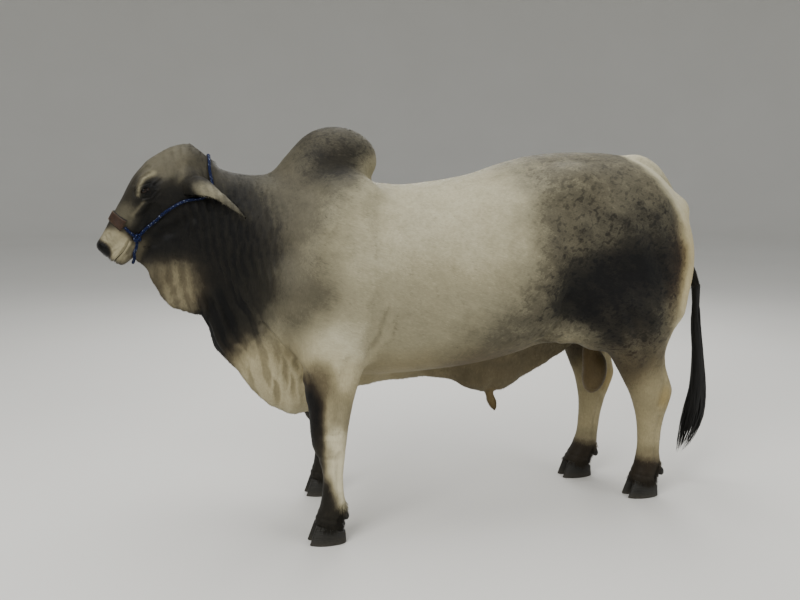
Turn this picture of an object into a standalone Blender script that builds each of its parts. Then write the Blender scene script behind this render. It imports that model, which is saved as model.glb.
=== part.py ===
"""A grey Brahman bull, life-size, standing, in a halter of rope with a leather noseband.

The bull faces -X, its left side is -Y and the floor is z = 0. Sizes are in metres. The body is a
set of masses, lofts and ellipsoids. They are fused to one closed skin, blended where they join, and
parted into the named nodes by thin cuts. Eyes, ears, tail, claws and halter are pieces of their own,
seated on that skin.
"""

import math
from dataclasses import dataclass

import bmesh
import bpy
import numpy as np
from mathutils import Matrix

# Driving sizes
GAP = 0.0003
FORE_SPREAD = 0.25
HIND_SPREAD = 0.152
FAR_FORE_SHIFT = 0.070
FAR_HIND_SHIFT = -0.190
FAR_HIND_TOP = 0.90
POLL_X = -0.505
POLL_Z = 1.560
HEAD_PITCH = math.radians(49.7)
EYE_PLACE = (0.226, 0.089, -0.010)
EYE_RADIUS = 0.0215
LID_THICKNESS = 0.0045
ROPE_RADIUS = 0.0055
STRAP_WIDTH = 0.042
STRAP_THICKNESS = 0.006
KNOT_RADIUS = 0.014
KNEE_HEIGHT = 0.405
HOCK_HEIGHT = 0.440
CORONET_HEIGHT = 0.066
CORONET_SLOPE = math.radians(16)
CLAW_HALF_WIDTH = 0.0245
CLEFT = 0.004
DEWCLAW_HEIGHT = 0.112
SWITCH_TOP = 0.93
SWITCH_CORE_END = 0.50
LOCK_COUNT = 11
LOCK_WIDTH = 0.042
LOCK_THICKNESS = 0.014

# Mesh sizes
VOXEL = 0.013
SKIN_TRIANGLES = 5300
MIRROR_BLEND = 0.012
WIDE = 0.6

# The body's stations: x, top, bottom, half-width, level of the widest point
TRUNK = (
    (-0.20, 1.330, 0.760, 0.150, 1.06),
    (-0.10, 1.385, 0.680, 0.205, 1.06),
    (0.05, 1.415, 0.630, 0.262, 1.05),
    (0.20, 1.418, 0.618, 0.305, 1.02),
    (0.35, 1.406, 0.620, 0.342, 0.99),
    (0.50, 1.420, 0.630, 0.368, 0.97),
    (0.65, 1.446, 0.645, 0.380, 0.98),
    (0.80, 1.492, 0.672, 0.376, 1.02),
    (0.95, 1.526, 0.715, 0.354, 1.10),
    (1.10, 1.537, 0.770, 0.322, 1.18),
    (1.25, 1.534, 0.820, 0.300, 1.20),
    (1.40, 1.505, 0.850, 0.268, 1.18),
    (1.50, 1.455, 0.880, 0.230, 1.14),
    (1.58, 1.370, 0.930, 0.175, 1.13),
    (1.63, 1.270, 1.010, 0.105, 1.13),
    (1.652, 1.190, 1.090, 0.040, 1.14),
)

# The neck's stations: x, crest, underside, half-width, level of the widest point
NECK = (
    (-0.58, 1.480, 1.270, 0.085, 1.38),
    (-0.52, 1.492, 1.190, 0.108, 1.35),
    (-0.46, 1.494, 1.110, 0.122, 1.32),
    (-0.39, 1.478, 1.010, 0.136, 1.27),
    (-0.32, 1.456, 0.920, 0.156, 1.21),
    (-0.24, 1.448, 0.840, 0.184, 1.16),
    (-0.16, 1.450, 0.780, 0.212, 1.12),
    (-0.05, 1.440, 0.740, 0.240, 1.10),
    (0.10, 1.400, 0.740, 0.225, 1.10),
)

# The dewlap's edge from the throat to between the forelegs: x, lowest point, half-thickness, depth
DEWLAP = (
    (-0.705, 1.120, 0.018, 0.05),
    (-0.672, 1.086, 0.021, 0.09),
    (-0.648, 1.028, 0.023, 0.14),
    (-0.622, 0.970, 0.025, 0.20),
    (-0.588, 0.937, 0.027, 0.26),
    (-0.530, 0.911, 0.030, 0.32),
    (-0.480, 0.898, 0.033, 0.34),
    (-0.450, 0.846, 0.037, 0.35),
    (-0.425, 0.762, 0.041, 0.35),
    (-0.380, 0.706, 0.047, 0.34),
    (-0.325, 0.648, 0.055, 0.32),
    (-0.270, 0.572, 0.062, 0.30),
    (-0.190, 0.496, 0.072, 0.28),
    (-0.100, 0.462, 0.080, 0.26),
    (0.000, 0.480, 0.082, 0.25),
    (0.140, 0.560, 0.066, 0.22),
    (0.260, 0.606, 0.044, 0.18),
)

# The fold of skin under the belly, with the sheath: x, lowest point, half-thickness, depth
UNDERLINE = (
    (0.10, 0.562, 0.040, 0.16),
    (0.30, 0.576, 0.030, 0.18),
    (0.45, 0.580, 0.028, 0.20),
    (0.56, 0.564, 0.030, 0.22),
    (0.65, 0.516, 0.037, 0.24),
    (0.73, 0.496, 0.043, 0.25),
    (0.80, 0.498, 0.040, 0.25),
    (0.87, 0.526, 0.031, 0.23),
    (0.97, 0.582, 0.026, 0.21),
    (1.08, 0.636, 0.025, 0.19),
    (1.22, 0.745, 0.036, 0.17),
)

# A foreleg's stations: height, rear, front, half-width
FORELEG = (
    (0.045, 0.040, -0.076, 0.050),
    (0.095, 0.046, -0.070, 0.051),
    (0.150, 0.057, -0.050, 0.051),
    (0.200, 0.048, -0.041, 0.042),
    (0.260, 0.046, -0.037, 0.038),
    (0.330, 0.052, -0.049, 0.047),
    (0.400, 0.063, -0.076, 0.061),
    (0.460, 0.073, -0.082, 0.063),
    (0.550, 0.093, -0.089, 0.066),
    (0.650, 0.122, -0.102, 0.083),
    (0.760, 0.158, -0.120, 0.104),
    (0.900, 0.160, -0.120, 0.090),
    (1.040, 0.110, -0.060, 0.040),
)

# A hind leg's stations: height, rear, front, half-width
HIND_LEG = (
    (0.045, 1.506, 1.378, 0.052),
    (0.095, 1.514, 1.386, 0.054),
    (0.150, 1.528, 1.408, 0.054),
    (0.215, 1.520, 1.416, 0.046),
    (0.290, 1.519, 1.409, 0.043),
    (0.370, 1.526, 1.394, 0.048),
    (0.430, 1.540, 1.374, 0.056),
    (0.490, 1.551, 1.347, 0.060),
    (0.545, 1.532, 1.314, 0.060),
    (0.610, 1.502, 1.274, 0.068),
    (0.680, 1.490, 1.228, 0.090),
    (0.770, 1.512, 1.145, 0.116),
    (0.860, 1.560, 1.085, 0.126),
    (0.980, 1.560, 1.120, 0.100),
    (1.120, 1.480, 1.230, 0.040),
)

# The head's stations, down the face from the poll: station, jaw line, face line, half-width, level
HEAD = (
    (-0.020, 0.120, 0.014, 0.060, 0.060),
    (0.000, 0.150, -0.010, 0.082, 0.060),
    (0.040, 0.178, -0.040, 0.098, 0.050),
    (0.090, 0.196, -0.060, 0.108, 0.035),
    (0.150, 0.200, -0.076, 0.114, 0.012),
    (0.207, 0.192, -0.078, 0.112, -0.004),
    (0.251, 0.172, -0.073, 0.100, -0.002),
    (0.300, 0.148, -0.062, 0.085, 0.010),
    (0.350, 0.128, -0.053, 0.074, 0.020),
    (0.400, 0.114, -0.044, 0.067, 0.028),
    (0.440, 0.108, -0.035, 0.066, 0.030),
    (0.475, 0.105, -0.029, 0.068, 0.030),
    (0.500, 0.100, -0.025, 0.064, 0.032),
    (0.511, 0.093, -0.018, 0.054, 0.034),
    (0.517, 0.080, -0.004, 0.036, 0.036),
)

# The tail's line, x and z down its middle, and its half-width and half-depth
TAIL = (
    (1.340, 1.490, 0.050, 0.030),
    (1.430, 1.500, 0.044, 0.028),
    (1.500, 1.475, 0.038, 0.026),
    (1.570, 1.407, 0.034, 0.025),
    (1.622, 1.320, 0.031, 0.024),
    (1.658, 1.220, 0.028, 0.023),
    (1.690, 1.120, 0.026, 0.022),
    (1.724, 1.030, 0.024, 0.021),
    (1.755, 0.970, 0.022, 0.020),
    (1.770, SWITCH_TOP, 0.021, 0.019),
)


def clear_scene():
    """Removes the objects that a new file starts with."""
    for item in list(bpy.data.objects):
        bpy.data.objects.remove(item)


def curve(at, stations, values):
    """A smooth line through the stations, a cubic in each span, that never overshoots a value."""
    places = np.asarray(stations, float)
    heights = np.asarray(values, float)
    spans = np.diff(places)
    slopes = np.diff(heights) / spans
    tangents = np.zeros_like(heights)
    same = slopes[:-1] * slopes[1:] > 0
    before = (2 * spans[1:] + spans[:-1])[same]
    after = (spans[1:] + 2 * spans[:-1])[same]
    inner = np.zeros_like(slopes[:-1])
    inner[same] = (before + after) / (before / slopes[:-1][same] + after / slopes[1:][same])
    tangents[1:-1] = inner
    tangents[0] = slopes[0]
    tangents[-1] = slopes[-1]
    held = np.clip(at, places[0], places[-1])
    span = np.clip(np.searchsorted(places, held, side="right") - 1, 0, len(spans) - 1)
    width = spans[span]
    step = (held - places[span]) / width
    rest = 1 - step
    start = (1 + 2 * step) * rest * rest * heights[span] + step * rest * rest * width * tangents[span]
    end = step * step * (3 - 2 * step) * heights[span + 1]
    return start + end + step * step * (step - 1) * width * tangents[span + 1]


def body_frame(x, y, z):
    """Along the body, across it, and up."""
    return x, y, z


def body_place(along, across, up):
    """The place of a point given in the body's own directions."""
    return along, across, up


def leg_frame(x, y, z):
    """Up the leg, across it, and from its front to its rear."""
    return z, y, x


def leg_place(along, across, up):
    """The place of a point given in a leg's directions."""
    return up, across, along


def head_frame(x, y, z):
    """Down the face from the poll, across it, and from the face towards the throat."""
    dx = x - POLL_X
    dz = z - POLL_Z
    down = -math.cos(HEAD_PITCH) * dx - math.sin(HEAD_PITCH) * dz
    back = math.sin(HEAD_PITCH) * dx - math.cos(HEAD_PITCH) * dz
    return down, y, back


def head_place(along, across, up):
    """The place of a point given in the head's directions."""
    x = POLL_X - math.cos(HEAD_PITCH) * along + math.sin(HEAD_PITCH) * up
    z = POLL_Z - math.sin(HEAD_PITCH) * along - math.cos(HEAD_PITCH) * up
    return x, across, z


FRAMES = {
    "body": (body_frame, body_place),
    "leg": (leg_frame, leg_place),
    "head": (head_frame, head_place),
}


@dataclass(frozen=True)
class Ball:
    """An ellipsoid. Its tilt, in degrees, leans its top towards the tail, or the throat."""

    centre: tuple
    radii: tuple
    tilt: float = 0.0
    frame: str = "body"

    def distance(self, x, y, z):
        """Roughly how far a point is from the surface, negative inside."""
        along, across, up = FRAMES[self.frame][0](x, y, z)
        lean = math.radians(self.tilt)
        u = along - self.centre[0]
        v = across - self.centre[1]
        w = up - self.centre[2]
        u, w = math.cos(lean) * u - math.sin(lean) * w, math.sin(lean) * u + math.cos(lean) * w
        a, b, c = self.radii
        near = np.sqrt((u / a) ** 2 + (v / b) ** 2 + (w / c) ** 2)
        steep = np.sqrt((u / a**2) ** 2 + (v / b**2) ** 2 + (w / c**2) ** 2)
        return near * (near - 1) / np.maximum(steep, 1e-9)

    def add_to(self, bm, side):
        """Adds the ellipsoid to a bmesh, on the side that the sign gives."""
        added = bmesh.ops.create_icosphere(bm, subdivisions=3, radius=1.0)["verts"]
        unit = np.array([vert.co for vert in added]) * np.array(self.radii)
        lean = math.radians(self.tilt)
        u = math.cos(lean) * unit[:, 0] + math.sin(lean) * unit[:, 2] + self.centre[0]
        w = -math.sin(lean) * unit[:, 0] + math.cos(lean) * unit[:, 2] + self.centre[2]
        placed = np.stack(FRAMES[self.frame][1](u, side * (unit[:, 1] + self.centre[1]), w), 1)
        for vert, point in zip(added, placed):
            vert.co = point


@dataclass(frozen=True)
class Loft:
    """Superellipse sections along a line.

    A station holds its place along the line, its high and low edge and its half-width, and, in a
    fifth column, the level where it is widest, half way up where that is left out. The shear
    shifts the low end of a leg.
    """

    stations: tuple
    roundness: float = 2.2
    frame: str = "body"
    across: tuple = ((0.0, 0.0), (1.0, 0.0))
    shear: tuple = (0.0, 1.0)

    def section(self, along):
        """The high and low edge, half-width, level and middle across of the section at a place."""
        table = np.array(self.stations)
        high, low, half = [curve(along, table[:, 0], table[:, k]) for k in (1, 2, 3)]
        level = (high + low) / 2
        if table.shape[1] > 4:
            level = curve(along, table[:, 0], table[:, 4])
        places, middles = np.array(self.across).T
        shift = self.shear[0] * np.clip(1 - along / self.shear[1], 0, 1)
        return high + shift, low + shift, half, level + shift, np.interp(along, places, middles)

    def distance(self, x, y, z):
        """Roughly how far a point is from the surface, negative inside."""
        along, across, up = FRAMES[self.frame][0](x, y, z)
        high, low, half, level, middle = self.section(along)
        u = across - middle + 1e-6
        w = up - level
        reach = np.where(w > 0, high - level, level - low)
        power = self.roundness
        gauge = (np.abs(u / half) ** power + np.abs(w / reach) ** power) ** (1 / power)
        side = np.sqrt(u * u + w * w) * (1 - 1 / np.maximum(gauge, 1e-6))
        ends = np.maximum(self.stations[0][0] - along, along - self.stations[-1][0])
        return np.maximum(side, ends)

    def add_to(self, bm, side):
        """Adds the loft to a bmesh, on the side that the sign gives."""
        first = self.stations[0][0]
        last = self.stations[-1][0]
        along = np.linspace(first, last, max(6, int((last - first) / 0.02)))[:, None]
        turn = np.linspace(0, 2 * math.pi, 32, endpoint=False)[None, :]
        high, low, half, level, middle = self.section(along)
        power = 2 / self.roundness
        rise = np.sign(np.sin(turn)) * np.abs(np.sin(turn)) ** power
        up = level + rise * np.where(rise > 0, high - level, level - low)
        out = np.sign(np.cos(turn)) * np.abs(np.cos(turn)) ** power * half + middle
        rings = np.stack(np.broadcast_arrays(*FRAMES[self.frame][1](along, side * out, up)), 2)
        add_rings(bm, rings)


@dataclass(frozen=True)
class Fold:
    """A hanging sheet of skin with a round low edge, which grows thicker upwards.

    A station holds x, the low edge, the half-thickness there and the depth of the sheet. The sway
    is how far the low edge swings to each side, and how many turns of the wave a metre holds.
    """

    stations: tuple
    sway: tuple
    flare: float = 0.10

    def swing(self, x, share):
        """How far the sheet swings to the side, for a share of its depth below its root."""
        size, waves = self.sway
        return size * share * (np.sin(waves * x + 3 * share) + 0.5 * np.sin(2.1 * waves * x + 1.1))

    def section(self, x):
        """The low edge, its half-thickness, the depth and how steeply the edge runs."""
        table = np.array(self.stations)
        low, half, depth = [curve(x, table[:, 0], table[:, k]) for k in (1, 2, 3)]
        ahead = curve(x + 0.004, table[:, 0], table[:, 1])
        behind = curve(x - 0.004, table[:, 0], table[:, 1])
        return low, half, depth, np.sqrt(1 + ((ahead - behind) / 0.008) ** 2)

    def distance(self, x, y, z):
        """Roughly how far a point is from the surface, negative inside."""
        low, half, depth, steep = self.section(x)
        share = np.clip((low + depth - z) / depth, 0, 1)
        above = (z - low) / steep
        thick = half + self.flare * np.clip(above, 0, depth)
        side = np.hypot(np.maximum(thick - above, 0), y - self.swing(x, share)) - thick
        ends = np.maximum(self.stations[0][0] - x, x - self.stations[-1][0])
        return np.maximum(np.maximum(side, z - low - depth), ends)

    def add_to(self, bm, side):
        """Adds the sheet to a bmesh, on the side that the sign gives."""
        first = self.stations[0][0]
        last = self.stations[-1][0]
        x = np.linspace(first, last, int((last - first) / 0.01))[:, None]
        turn = np.linspace(0, 2 * math.pi, 32, endpoint=False)[None, :]
        low, half, depth, _ = self.section(x)
        z = low + depth / 2 * (1 + np.sin(turn))
        share = np.clip((low + depth - z) / depth, 0, 1)
        y = (half + self.flare * (z - low)) * np.cos(turn) + self.swing(x, share)
        add_rings(bm, np.stack(np.broadcast_arrays(x, side * y, z), 2))


@dataclass(frozen=True)
class Mass:
    """A form of the body, how wide its join is blended, on which sides, and whether it is carved out."""

    form: object
    blend: float
    sides: tuple = (1,)
    hollow: bool = False

    def side_distance(self, x, y, z):
        """The distance to the nearest of the mass's copies."""
        if len(self.sides) == 2:
            return self.form.distance(x, np.sqrt(y * y + MIRROR_BLEND**2), z)
        return self.form.distance(x, self.sides[0] * y, z)


def add_rings(bm, rings):
    """Adds a closed form through rings of points, with a flat cap at each end."""
    loops = [[bm.verts.new(point) for point in ring] for ring in rings]
    faces = [bm.faces.new(loops[0][::-1]), bm.faces.new(loops[-1])]
    for near, far in zip(loops, loops[1:]):
        for k in range(len(near)):
            faces.append(bm.faces.new((near[k - 1], near[k], far[k], far[k - 1])))
    bmesh.ops.recalc_face_normals(bm, faces=faces)


def smooth_union(a, b, blend):
    """The smaller of two distances, rounded over the blend's width."""
    mix = np.clip(0.5 + 0.5 * (b - a) / blend, 0, 1)
    return b * (1 - mix) + a * mix - blend * mix * (1 - mix)


def leg_masses():
    """The four legs. The far ones stand where the bull has them, a little back and well forward."""
    fore_line = ((0.30, FORE_SPREAD), (0.90, FORE_SPREAD - 0.055))
    hind_line = ((0.20, HIND_SPREAD), (0.70, HIND_SPREAD + 0.050), (0.90, HIND_SPREAD + 0.062))
    fore = Loft(FORELEG, frame="leg", across=fore_line)
    far_fore = Loft(FORELEG, frame="leg", across=fore_line, shear=(FAR_FORE_SHIFT, 0.9))
    hind = Loft(HIND_LEG, frame="leg", across=hind_line)
    far_hind = Loft(HIND_LEG, frame="leg", across=hind_line, shear=(FAR_HIND_SHIFT, FAR_HIND_TOP))
    return [
        Mass(fore, 0.05, (-1,)),
        Mass(far_fore, 0.05, (1,)),
        Mass(hind, 0.06, (-1,)),
        Mass(far_hind, 0.06, (1,)),
    ]


def trunk_masses():
    """Trunk, neck, hump, shoulders, brisket and haunches."""
    both = (-1, 1)
    return [
        Mass(Loft(TRUNK), 0.05),
        Mass(Loft(NECK, roundness=2.1), 0.10),
        Mass(Ball((0.012, 0.0, 1.415), (0.180, 0.128, 0.160)), 0.06),
        Mass(Ball((0.075, 0.0, 1.504), (0.173, 0.118, 0.133)), 0.030),
        Mass(Ball((0.050, 0.155, 1.190), (0.150, 0.118, 0.270), 22), 0.09, both),
        Mass(Ball((-0.095, 0.175, 0.985), (0.120, 0.115, 0.165), 20), 0.08, both),
        Mass(Ball((0.095, 0.205, 0.930), (0.140, 0.100, 0.190), -15), 0.07, both),
        Mass(Ball((-0.500, 0.0, 1.180), (0.170, 0.062, 0.130), 35), 0.06),
        Mass(Ball((-0.150, 0.0, 0.860), (0.190, 0.165, 0.230)), 0.08),
        Mass(Ball((-0.085, 0.0, 0.665), (0.215, 0.112, 0.165)), 0.06),
        Mass(Ball((1.290, 0.150, 1.130), (0.280, 0.160, 0.320), -10), 0.09, both),
        Mass(Ball((1.470, 0.145, 1.000), (0.165, 0.122, 0.280), 10), 0.08, both),
        Mass(Ball((1.150, 0.195, 0.870), (0.140, 0.115, 0.180), -20), 0.09, both),
        Mass(Ball((1.020, 0.232, 1.400), (0.085, 0.056, 0.058)), 0.10, both),
        Mass(Ball((1.575, 0.105, 1.290), (0.060, 0.045, 0.050)), 0.08, both),
        Mass(Ball((1.040, 0.245, 0.812), (0.130, 0.042, 0.055), -12), 0.08, both),
    ]


def fold_masses():
    """The dewlap, the fold under the belly with its sheath, and the scrotum."""
    sheath_tip = Ball((0.766, 0.0, 0.458), (0.021, 0.020, 0.052), -22)
    purse = Ball((1.268, 0.0, 0.545), (0.056, 0.058, 0.098), 10)
    neck_of_purse = Ball((1.250, 0.0, 0.670), (0.042, 0.040, 0.110), 8)
    return [
        Mass(Fold(DEWLAP, sway=(0.010, 34.0)), 0.040),
        Mass(Fold(UNDERLINE, sway=(0.006, 40.0), flare=0.16), 0.035),
        Mass(sheath_tip, 0.030),
        Mass(purse, 0.03),
        Mass(neck_of_purse, 0.03),
    ]


def head_ball(place, radii, blend, hollow=False, tilt=0.0):
    """A mass on both sides of the head, in the head's directions."""
    return Mass(Ball(place, radii, tilt, "head"), blend, (-1, 1), hollow)


def head_masses():
    """The skull with its jaw muscles, brows, orbits, cheek bones, nostril wings, lips and chin."""
    lid_radius = EYE_RADIUS + LID_THICKNESS
    return [
        Mass(Loft(HEAD, frame="head"), 0.05),
        head_ball((0.205, 0.058, 0.105), (0.095, 0.046, 0.080), 0.035),
        head_ball((0.195, 0.090, -0.036), (0.048, 0.024, 0.024), 0.020),
        head_ball(EYE_PLACE, (lid_radius, lid_radius, lid_radius), 0.012),
        head_ball((0.275, 0.080, 0.022), (0.060, 0.020, 0.020), 0.025),
        head_ball((0.095, 0.098, 0.092), (0.036, 0.026, 0.044), 0.030),
        head_ball((0.482, 0.036, 0.012), (0.036, 0.034, 0.036), 0.016),
        head_ball((0.462, 0.040, 0.052), (0.054, 0.029, 0.024), 0.014),
        head_ball((0.478, 0.020, 0.090), (0.036, 0.034, 0.020), 0.012),
        head_ball((0.335, 0.099, 0.058), (0.078, 0.020, 0.034), 0.045, hollow=True),
        head_ball((0.140, 0.126, -0.020), (0.044, 0.020, 0.026), 0.035, hollow=True),
    ]


def body_masses():
    """All the masses, in the order in which they are blended."""
    return trunk_masses() + leg_masses() + fold_masses() + head_masses()


def blended(masses, points):
    """The distance of points to the masses, with rounded joins and carved hollows."""
    x, y, z = points.T
    total = masses[0].side_distance(x, y, z)
    for mass in masses[1:]:
        other = mass.side_distance(x, y, z)
        if mass.hollow:
            total = -smooth_union(-total, other, mass.blend)
        else:
            total = smooth_union(total, other, mass.blend)
    return total


def uphill(masses, points):
    """The direction in which the distance grows, for each point."""
    step = 0.0005
    slopes = []
    for axis in np.eye(3) * step:
        slopes.append((blended(masses, points + axis) - blended(masses, points - axis)) / (2 * step))
    return np.stack(slopes, 1)


def settle(masses, points, lift=0.0, rounds=5):
    """Moves points along the slope until they lie at the lift above the blended surface."""
    for _ in range(rounds):
        slope = uphill(masses, points)
        steep = np.maximum((slope**2).sum(1, keepdims=True), 0.05)
        move = (blended(masses, points)[:, None] - lift) * slope / steep
        size = np.linalg.norm(move, axis=1, keepdims=True)
        points = points - move * np.minimum(1.0, 0.02 / np.maximum(size, 1e-9))
    return points


def link(name, mesh):
    """Adds an object with this mesh to the scene."""
    item = bpy.data.objects.new(name, mesh)
    bpy.context.scene.collection.objects.link(item)
    return item


def from_bmesh(name, bm):
    """Adds an object made from a bmesh, and frees the bmesh."""
    mesh = bpy.data.meshes.new(name)
    bm.to_mesh(mesh)
    bm.free()
    return link(name, mesh)


def apply_modifiers(item):
    """Gives an object the mesh that its modifiers make, and takes the modifiers off."""
    bpy.context.view_layer.update()
    evaluated = item.evaluated_get(bpy.context.evaluated_depsgraph_get())
    mesh = bpy.data.meshes.new_from_object(evaluated)
    item.modifiers.clear()
    item.data = mesh
    return item


def mesh_points(item):
    """The vertices of an object's mesh as an array."""
    flat = np.empty(len(item.data.vertices) * 3, np.float32)
    item.data.vertices.foreach_get("co", flat)
    return flat.reshape(-1, 3).astype(float)


def set_points(item, points):
    """Moves the vertices of an object's mesh to the points."""
    item.data.vertices.foreach_set("co", points.astype(np.float32).ravel())
    item.data.update()


def fused_masses(masses):
    """The solid masses as overlapping shells, fused to one closed skin by voxels."""
    bm = bmesh.new()
    for mass in masses:
        if not mass.hollow:
            for side in mass.sides:
                mass.form.add_to(bm, side)
    bmesh.ops.recalc_face_normals(bm, faces=bm.faces)
    item = from_bmesh("skin", bm)
    remesh = item.modifiers.new("fuse", "REMESH")
    remesh.mode = "VOXEL"
    remesh.voxel_size = VOXEL
    return apply_modifiers(item)


def refine(item, fine):
    """Splits the faces whose corners the test picks out, one level."""
    bm = bmesh.new()
    bm.from_mesh(item.data)
    chosen = fine(np.array([vert.co for vert in bm.verts]))
    edges = [edge for edge in bm.edges if all(chosen[vert.index] for vert in edge.verts)]
    bmesh.ops.subdivide_edges(bm, edges=edges, cuts=1, use_grid_fill=True)
    bmesh.ops.triangulate(bm, faces=bm.faces)
    bm.to_mesh(item.data)
    bm.free()


def on_head(points):
    """Picks the points of the head."""
    down, _, back = head_frame(*points.T)
    return (down > -0.05) & (down < 0.56) & (back < 0.24)


def on_face(points):
    """Picks the points round the eyes and on the muzzle."""
    down, across, back = head_frame(*points.T)
    eye = (np.hypot(down - EYE_PLACE[0], back - EYE_PLACE[2]) < 0.045) & (np.abs(across) > 0.06)
    muzzle = (down > 0.41) & (back < 0.14)
    return (eye | muzzle) & (down < 0.56)


def on_fold(points):
    """Picks the points near the low edge of the dewlap."""
    x, y, z = points.T
    table = np.array(DEWLAP)
    edge = curve(x, table[:, 0], table[:, 1])
    return (np.abs(y) < 0.10) & (x > table[0, 0] - 0.03) & (x < 0.10) & (z < edge + 0.045)


def whole_skin(masses):
    """The bull's closed skin: masses fused, blended, finer on the head and the dewlap, then thinned out."""
    item = fused_masses(masses)
    set_points(item, settle(masses, mesh_points(item)))
    for finer in (on_head, on_fold, on_face):
        refine(item, finer)
    set_points(item, settle(masses, mesh_points(item)))
    soften = item.modifiers.new("soften", "SMOOTH")
    soften.factor = 0.4
    soften.iterations = 2
    apply_modifiers(item)
    thin = item.modifiers.new("thin", "DECIMATE")
    thin.ratio = SKIN_TRIANGLES / len(item.data.polygons)
    return apply_modifiers(item)


def hide(cutter):
    """Marks an object as a cutter."""
    cutter.hide_render = True
    cutter.display_type = "WIRE"
    return cutter


def closed(mesh):
    """Whether every edge of a mesh has exactly two faces."""
    bm = bmesh.new()
    bm.from_mesh(mesh)
    whole = all(edge.is_manifold for edge in bm.edges)
    bm.free()
    return whole


def solve(item, operation, target, pieces=None):
    """Applies a Boolean with an object or a collection, by MANIFOLD where EXACT leaves a mesh open."""
    before = item.data
    for solver in ("EXACT", "MANIFOLD"):
        item.data = before
        boolean = item.modifiers.new("join", "BOOLEAN")
        boolean.operation = operation
        boolean.solver = solver
        if pieces:
            boolean.operand_type = "COLLECTION"
            boolean.collection = pieces
        else:
            boolean.object = target
        apply_modifiers(item)
        if closed(item.data):
            break
    return item


def cut(item, cutter):
    """Takes the cutter out of the object and removes the cutter."""
    solve(item, "DIFFERENCE", hide(cutter))
    bpy.data.objects.remove(cutter)
    return item


def grown(item, gap):
    """A copy of an object, larger by a gap all over."""
    copy = link("grown", item.data.copy())
    displace = copy.modifiers.new("grow", "DISPLACE")
    displace.strength = gap
    displace.mid_level = 0.0
    return apply_modifiers(copy)


def seat(item, base, gap=GAP):
    """Cuts an object clear of a base by a gap, so that the two meet face to face."""
    cut(item, grown(base, gap))
    return largest(item)


def islands(item):
    """The separate closed surfaces of an object's mesh, as lists of face indices."""
    bm = bmesh.new()
    bm.from_mesh(item.data)
    seen = set()
    found = []
    for face in bm.faces:
        if face.index in seen:
            continue
        seen.add(face.index)
        group = [face]
        for member in group:
            for edge in member.edges:
                for other in edge.link_faces:
                    if other.index not in seen:
                        seen.add(other.index)
                        group.append(other)
        found.append([member.index for member in group])
    bm.free()
    return found


def keep_faces(item, name, indices):
    """A new object with only these faces of another object's mesh."""
    bm = bmesh.new()
    bm.from_mesh(item.data)
    wanted = set(indices)
    others = [face for face in bm.faces if face.index not in wanted]
    bmesh.ops.delete(bm, geom=others, context="FACES")
    return from_bmesh(name, bm)


def largest(item):
    """Keeps only the largest closed surface of an object."""
    groups = islands(item)
    if len(groups) > 1:
        kept = keep_faces(item, "kept", max(groups, key=len))
        item.data = kept.data
        bpy.data.objects.remove(kept)
    return item


def middle_of(item, indices):
    """The middle of the box round some faces of an object."""
    corners = {corner for k in indices for corner in item.data.polygons[k].vertices}
    points = np.array([item.data.vertices[k].co for k in corners])
    return (points.min(0) + points.max(0)) / 2


def take(item, name, cutter, near):
    """Parts an object by a thin cutter, and names the piece whose middle is nearest to a place."""
    cut(item, cutter)
    groups = islands(item)
    groups.sort(key=lambda group: np.linalg.norm(middle_of(item, group) - np.array(near)))
    piece = keep_faces(item, name, groups[0])
    rest = keep_faces(item, "rest", max(groups[1:], key=len))
    item.data = rest.data
    bpy.data.objects.remove(rest)
    return piece


def ball(name, place, radii, segments=14, rings=8):
    """An ellipsoid at a place, with its radii along x, y and z."""
    bm = bmesh.new()
    bmesh.ops.create_uvsphere(bm, u_segments=segments, v_segments=rings, radius=1.0)
    bmesh.ops.transform(bm, matrix=Matrix.Diagonal((*radii, 1.0)), verts=bm.verts)
    item = from_bmesh(name, bm)
    item.data.transform(Matrix.Translation(place))
    return item


def face_outwards(item):
    """Turns all faces of an object outwards."""
    bm = bmesh.new()
    bm.from_mesh(item.data)
    bmesh.ops.recalc_face_normals(bm, faces=bm.faces)
    bm.to_mesh(item.data)
    bm.free()
    return item


def ball_on_head(name, place, radii, tilt=0.0, swing=0.0):
    """An ellipsoid in the head's directions, tilted in the side view and swung in the front view."""
    item = ball(name, (0.0, 0.0, 0.0), radii)
    turn = Matrix.Rotation(math.radians(tilt), 4, "Y") @ Matrix.Rotation(math.radians(swing), 4, "X")
    item.data.transform(turn)
    points = mesh_points(item) + np.array(place)
    set_points(item, np.stack(head_place(*points.T), 1))
    return face_outwards(item)


def eye_middle(side):
    """The place of an eye's middle, on the side that the sign gives."""
    down, out, back = EYE_PLACE
    return head_place(down, side * out, back)


def open_eyes(skin):
    """Cuts the sockets for the eyeballs and the openings between the lids."""
    for side in (-1, 1):
        socket = EYE_RADIUS + GAP
        cut(skin, ball("socket", eye_middle(side), (socket, socket, socket)))
        place = (EYE_PLACE[0], side * (EYE_PLACE[1] + 0.024), EYE_PLACE[2])
        cut(skin, ball_on_head("opening", place, (0.0190, 0.021, 0.0098), tilt=26))


def open_nostrils(skin):
    """Cuts the nostrils into the nose pad, slanted outwards at the top."""
    for side in (-1, 1):
        place = (0.506, side * 0.036, 0.004)
        cut(skin, ball_on_head("nostril", place, (0.024, 0.008, 0.0145), tilt=12, swing=side * 28))


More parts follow.
